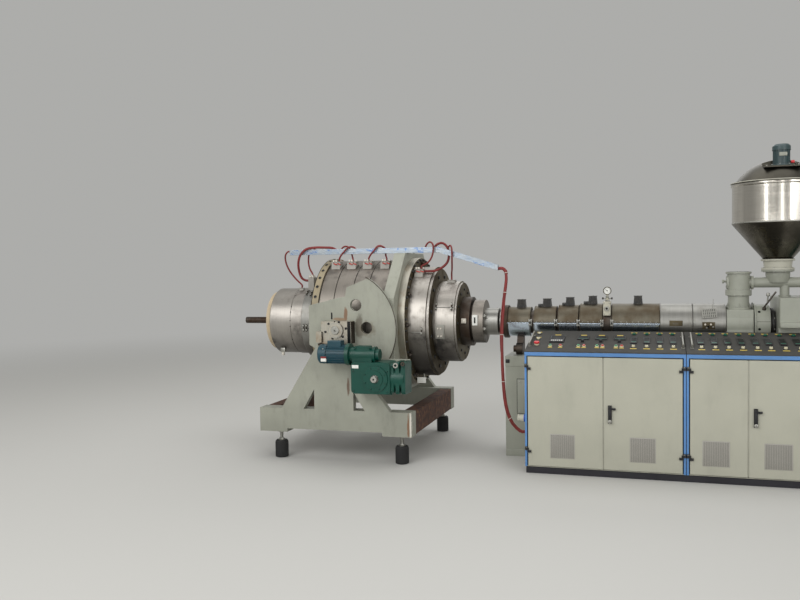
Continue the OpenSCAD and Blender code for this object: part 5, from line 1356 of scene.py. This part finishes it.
# %% Base and cabinet panels
PANELS = ("machine_paint", "cabinet_paint", "dark_glass", "zinc", "black_plastic")
GREY, CREAMY, GAP, PIN, TAB = range(5)
HATCHES = ((-0.194, -1.632, -1.506), (0.194, -1.470, -0.900), (0.194, -0.850, -0.280), (0.194, -0.230, 0.340),
           (0.194, 0.390, 0.900))
mesh = bmesh.new()
for y, low_x, high_x in HATCHES:
    side = 1 if y > 0 else -1
    for rise, grow, part in ((0.0015, 0.004, GAP), (0.0040, 0.0, GREY)):
        near, far = sorted((y - 0.002 * side, y + rise * side))
        box_in(mesh, (low_x - grow, near, 0.340 - grow), (high_x + grow, far, 0.608 + grow), 0.0006, part)
    for place in grid((low_x + 0.018, high_x - 0.018), (y,), (0.358, 0.590)):
        rod_in(mesh, place, place + BACK * 0.007 * side, 0.006, 20, PIN, 0.001)
box_in(mesh, (-1.722, -0.204, 0.735), (-1.690, -0.192, 0.765), 0.003, TAB)
for place in grid((-1.27, -0.62), (-0.15, 0.15), (0.789,)):
    rod_in(mesh, place, place + UP * 0.007, 0.010, 6, PIN)
for low_x, high_x in ((-1.310, -1.122), (-0.774, -0.586), (-0.210, -0.160), (0.170, 0.200)):
    for row in range(12):
        z = 0.200 + 0.014 * row
        box_in(mesh, (low_x, -0.2005, z), (high_x, -0.1985, z + 0.005), 0.0, GAP)
for low_x, high_x in ((-1.5005, -1.4985), (0.3875, 0.3900)):
    box_in(mesh, (low_x, -0.690, 0.100), (high_x, -0.230, 0.840), 0.001, CREAMY)
for place in grid((0.3885,), (-0.670, -0.250), (0.120, 0.470, 0.820)):
    rod_in(mesh, place, place + RIGHT * 0.005, 0.006, 20, PIN, 0.001)
settle("panel_details", mesh, PANELS)
print("hatches:", len(HATCHES))

# %% [markdown]
# The stand's feet are black ribbed cups with a bright threaded stud and two nuts.
# A white junction plate hangs under the large ring, and the saddle and the stand
# have their bolts. Dark boxes beside the trunnion block paint the shadow in its gaps.

# %% Feet and stand
RUBBER, METAL = range(2)
foot_low, foot_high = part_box("jack_feet")
feet = grid((foot_low[0] + 0.050, foot_high[0] - 0.050), (foot_low[1] + 0.050, foot_high[1] - 0.050), (0,))
mesh = bmesh.new()
for foot in feet:
    for step in range(28):
        turn = math.tau * step / 28
        rib = foot + Vector((math.cos(turn), math.sin(turn), 0)) * 0.0495
        rod_in(mesh, rib + UP * 0.004, rib + UP * 0.120, 0.0028, 6, RUBBER)
    for step in range(24):
        turned_in(mesh, [(0, 0.0118), (0.001, 0.0132), (0.002, 0.0118)], foot + UP * (0.140 + 0.003 * step), UP, 20,
                  METAL)
    for z in (0.137, 0.197):
        rod_in(mesh, foot + UP * z, foot + UP * (z + 0.015), 0.021, 6, METAL, 0.002)
    rod_in(mesh, foot + UP * 0.1355, foot + UP * 0.1385, 0.030, 32, METAL)
settle("foot_details", mesh, ("black_rubber", "zinc"), slot="black_rubber")

mesh, done = fasteners("stand_fittings")
# Painted shadow: dark boxes in the gaps beside the trunnion block.
for side in (-1, 1):
    for face_y, low, high in ((0.640, (-3.016, 1.102), (-3.004, 1.155)), (0.726, (-2.850, 0.925), (-2.823, 1.091))):
        near, far = sorted(((face_y - 0.004) * side, (face_y + 0.0010) * side))
        box_in(mesh, (low[0], near, low[1]), (high[0], far, high[1]), 0.001, HOLE)
saddle_low, saddle_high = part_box("saddle_plate")
for place in grid((saddle_low[0] + 0.024, saddle_high[0] - 0.024), (-0.055, 0.055), (saddle_high[2],)):
    cap_screw(mesh, place, UP, 0.010, 0.008)
done()
mesh = bmesh.new()
box_in(mesh, (-2.437, -0.240, 0.562), (-2.365, -0.232, 0.610), 0.002)
box_in(mesh, (-2.425, -0.234, 0.590), (-2.377, -0.150, 0.600), 0.001, METAL)
rod_in(mesh, (-2.401, -0.156, 0.595), (-2.401, -0.156, 0.640), 0.007, 16, METAL)
settle("junction_plate", mesh, ("dial_white", "zinc"), slot="terminal_plate")
print("feet dressed:", len(feet))

# %% [markdown]
# The machine stands on a plain pale floor under soft lamps. Far out the floor
# turns into the world's own tone, so no horizon crosses the picture. A low wide
# lamp gives the round covers their level band of light, and three tall narrow
# ones give the hopper its upright bands. No lamp shows itself to the camera.

# %% Floor and world
WORLD_TONE, WORLD_POWER = tone(214, 214, 211), 0.62
floor_mesh = bmesh.new()
bmesh.ops.create_grid(floor_mesh, x_segments=1, y_segments=1, size=60, matrix=Matrix.Translation((0, 0, -0.0005)))
floor_data = bpy.data.meshes.new("floor")
floor_mesh.to_mesh(floor_data)
floor_mesh.free()
floor_bench = Bench("floor")
floor_bench.finish(Base_Color=tone(196, 195, 191), Roughness=0.8)
away = distance(floor_bench, (-1.3, 0, 0))
far_tone = floor_bench.node("ShaderNodeEmission", {}, ((*WORLD_TONE, 1), WORLD_POWER))
near_floor = Flow(floor_bench, floor_bench.shader.outputs[0])
faded = floor_bench.node("ShaderNodeMixShader", {}, {0: away.over(10, 5), 1: near_floor, 2: far_tone})
floor_bench.tree.links.new(faded.socket, floor_bench.tree.nodes["Material Output"].inputs["Surface"])
floor_data.materials.append(floor_bench.material)
floor = bpy.data.objects.new("floor", floor_data)
bpy.context.scene.collection.objects.link(floor)

world = bpy.data.worlds.new("studio")
bpy.context.scene.world = world
world.use_nodes = True
world.node_tree.nodes["Background"].inputs["Color"].default_value = (*WORLD_TONE, 1)
world.node_tree.nodes["Background"].inputs["Strength"].default_value = WORLD_POWER
bpy.context.scene.view_settings.view_transform = "Standard"
print("world strength:", WORLD_POWER)

# %% [markdown]
# Every lamp is a large soft rectangle that looks at the machine. The key stands
# in front and to the left, the fill opposite it, and the others model the rounds.

# %% Soft lamps
def softbox(name, place, aim, size, power):
    """A large soft lamp at place, turned towards aim."""
    lamp = bpy.data.lights.new(name, "AREA")
    lamp.shape, lamp.size, lamp.size_y, lamp.energy = "RECTANGLE", size[0], size[1], power
    made = bpy.data.objects.new(name, lamp)
    made.matrix_world = (Matrix.Translation(place)
                         @ (Vector(aim) - Vector(place)).to_track_quat("-Z", "Y").to_matrix().to_4x4())
    made.visible_camera = False
    bpy.context.scene.collection.objects.link(made)


softbox("key", (-5.5, -8.5, 6.0), (-1.5, 0, 1.0), (7.0, 5.0), 350)
softbox("fill", (5.5, -7.5, 4.0), (-0.5, 0, 1.0), (4.0, 4.0), 130)
softbox("top", (-1.5, 0.5, 7.0), (-1.5, 0, 1.0), (8.0, 5.0), 190)
softbox("back", (-1.0, 7.5, 6.5), (-1.2, 0, 1.0), (7.0, 4.0), 130)
softbox("level", (-1.6, -8.2, 1.30), (-1.6, 0, 1.15), (7.5, 0.8), 60)
for x, power in ((-4.8, 34), (0.6, 22), (3.6, 30)):
    softbox("upright", (x, -7.0, 3.2), (0.2, 0, 1.9), (0.6, 3.0), power)
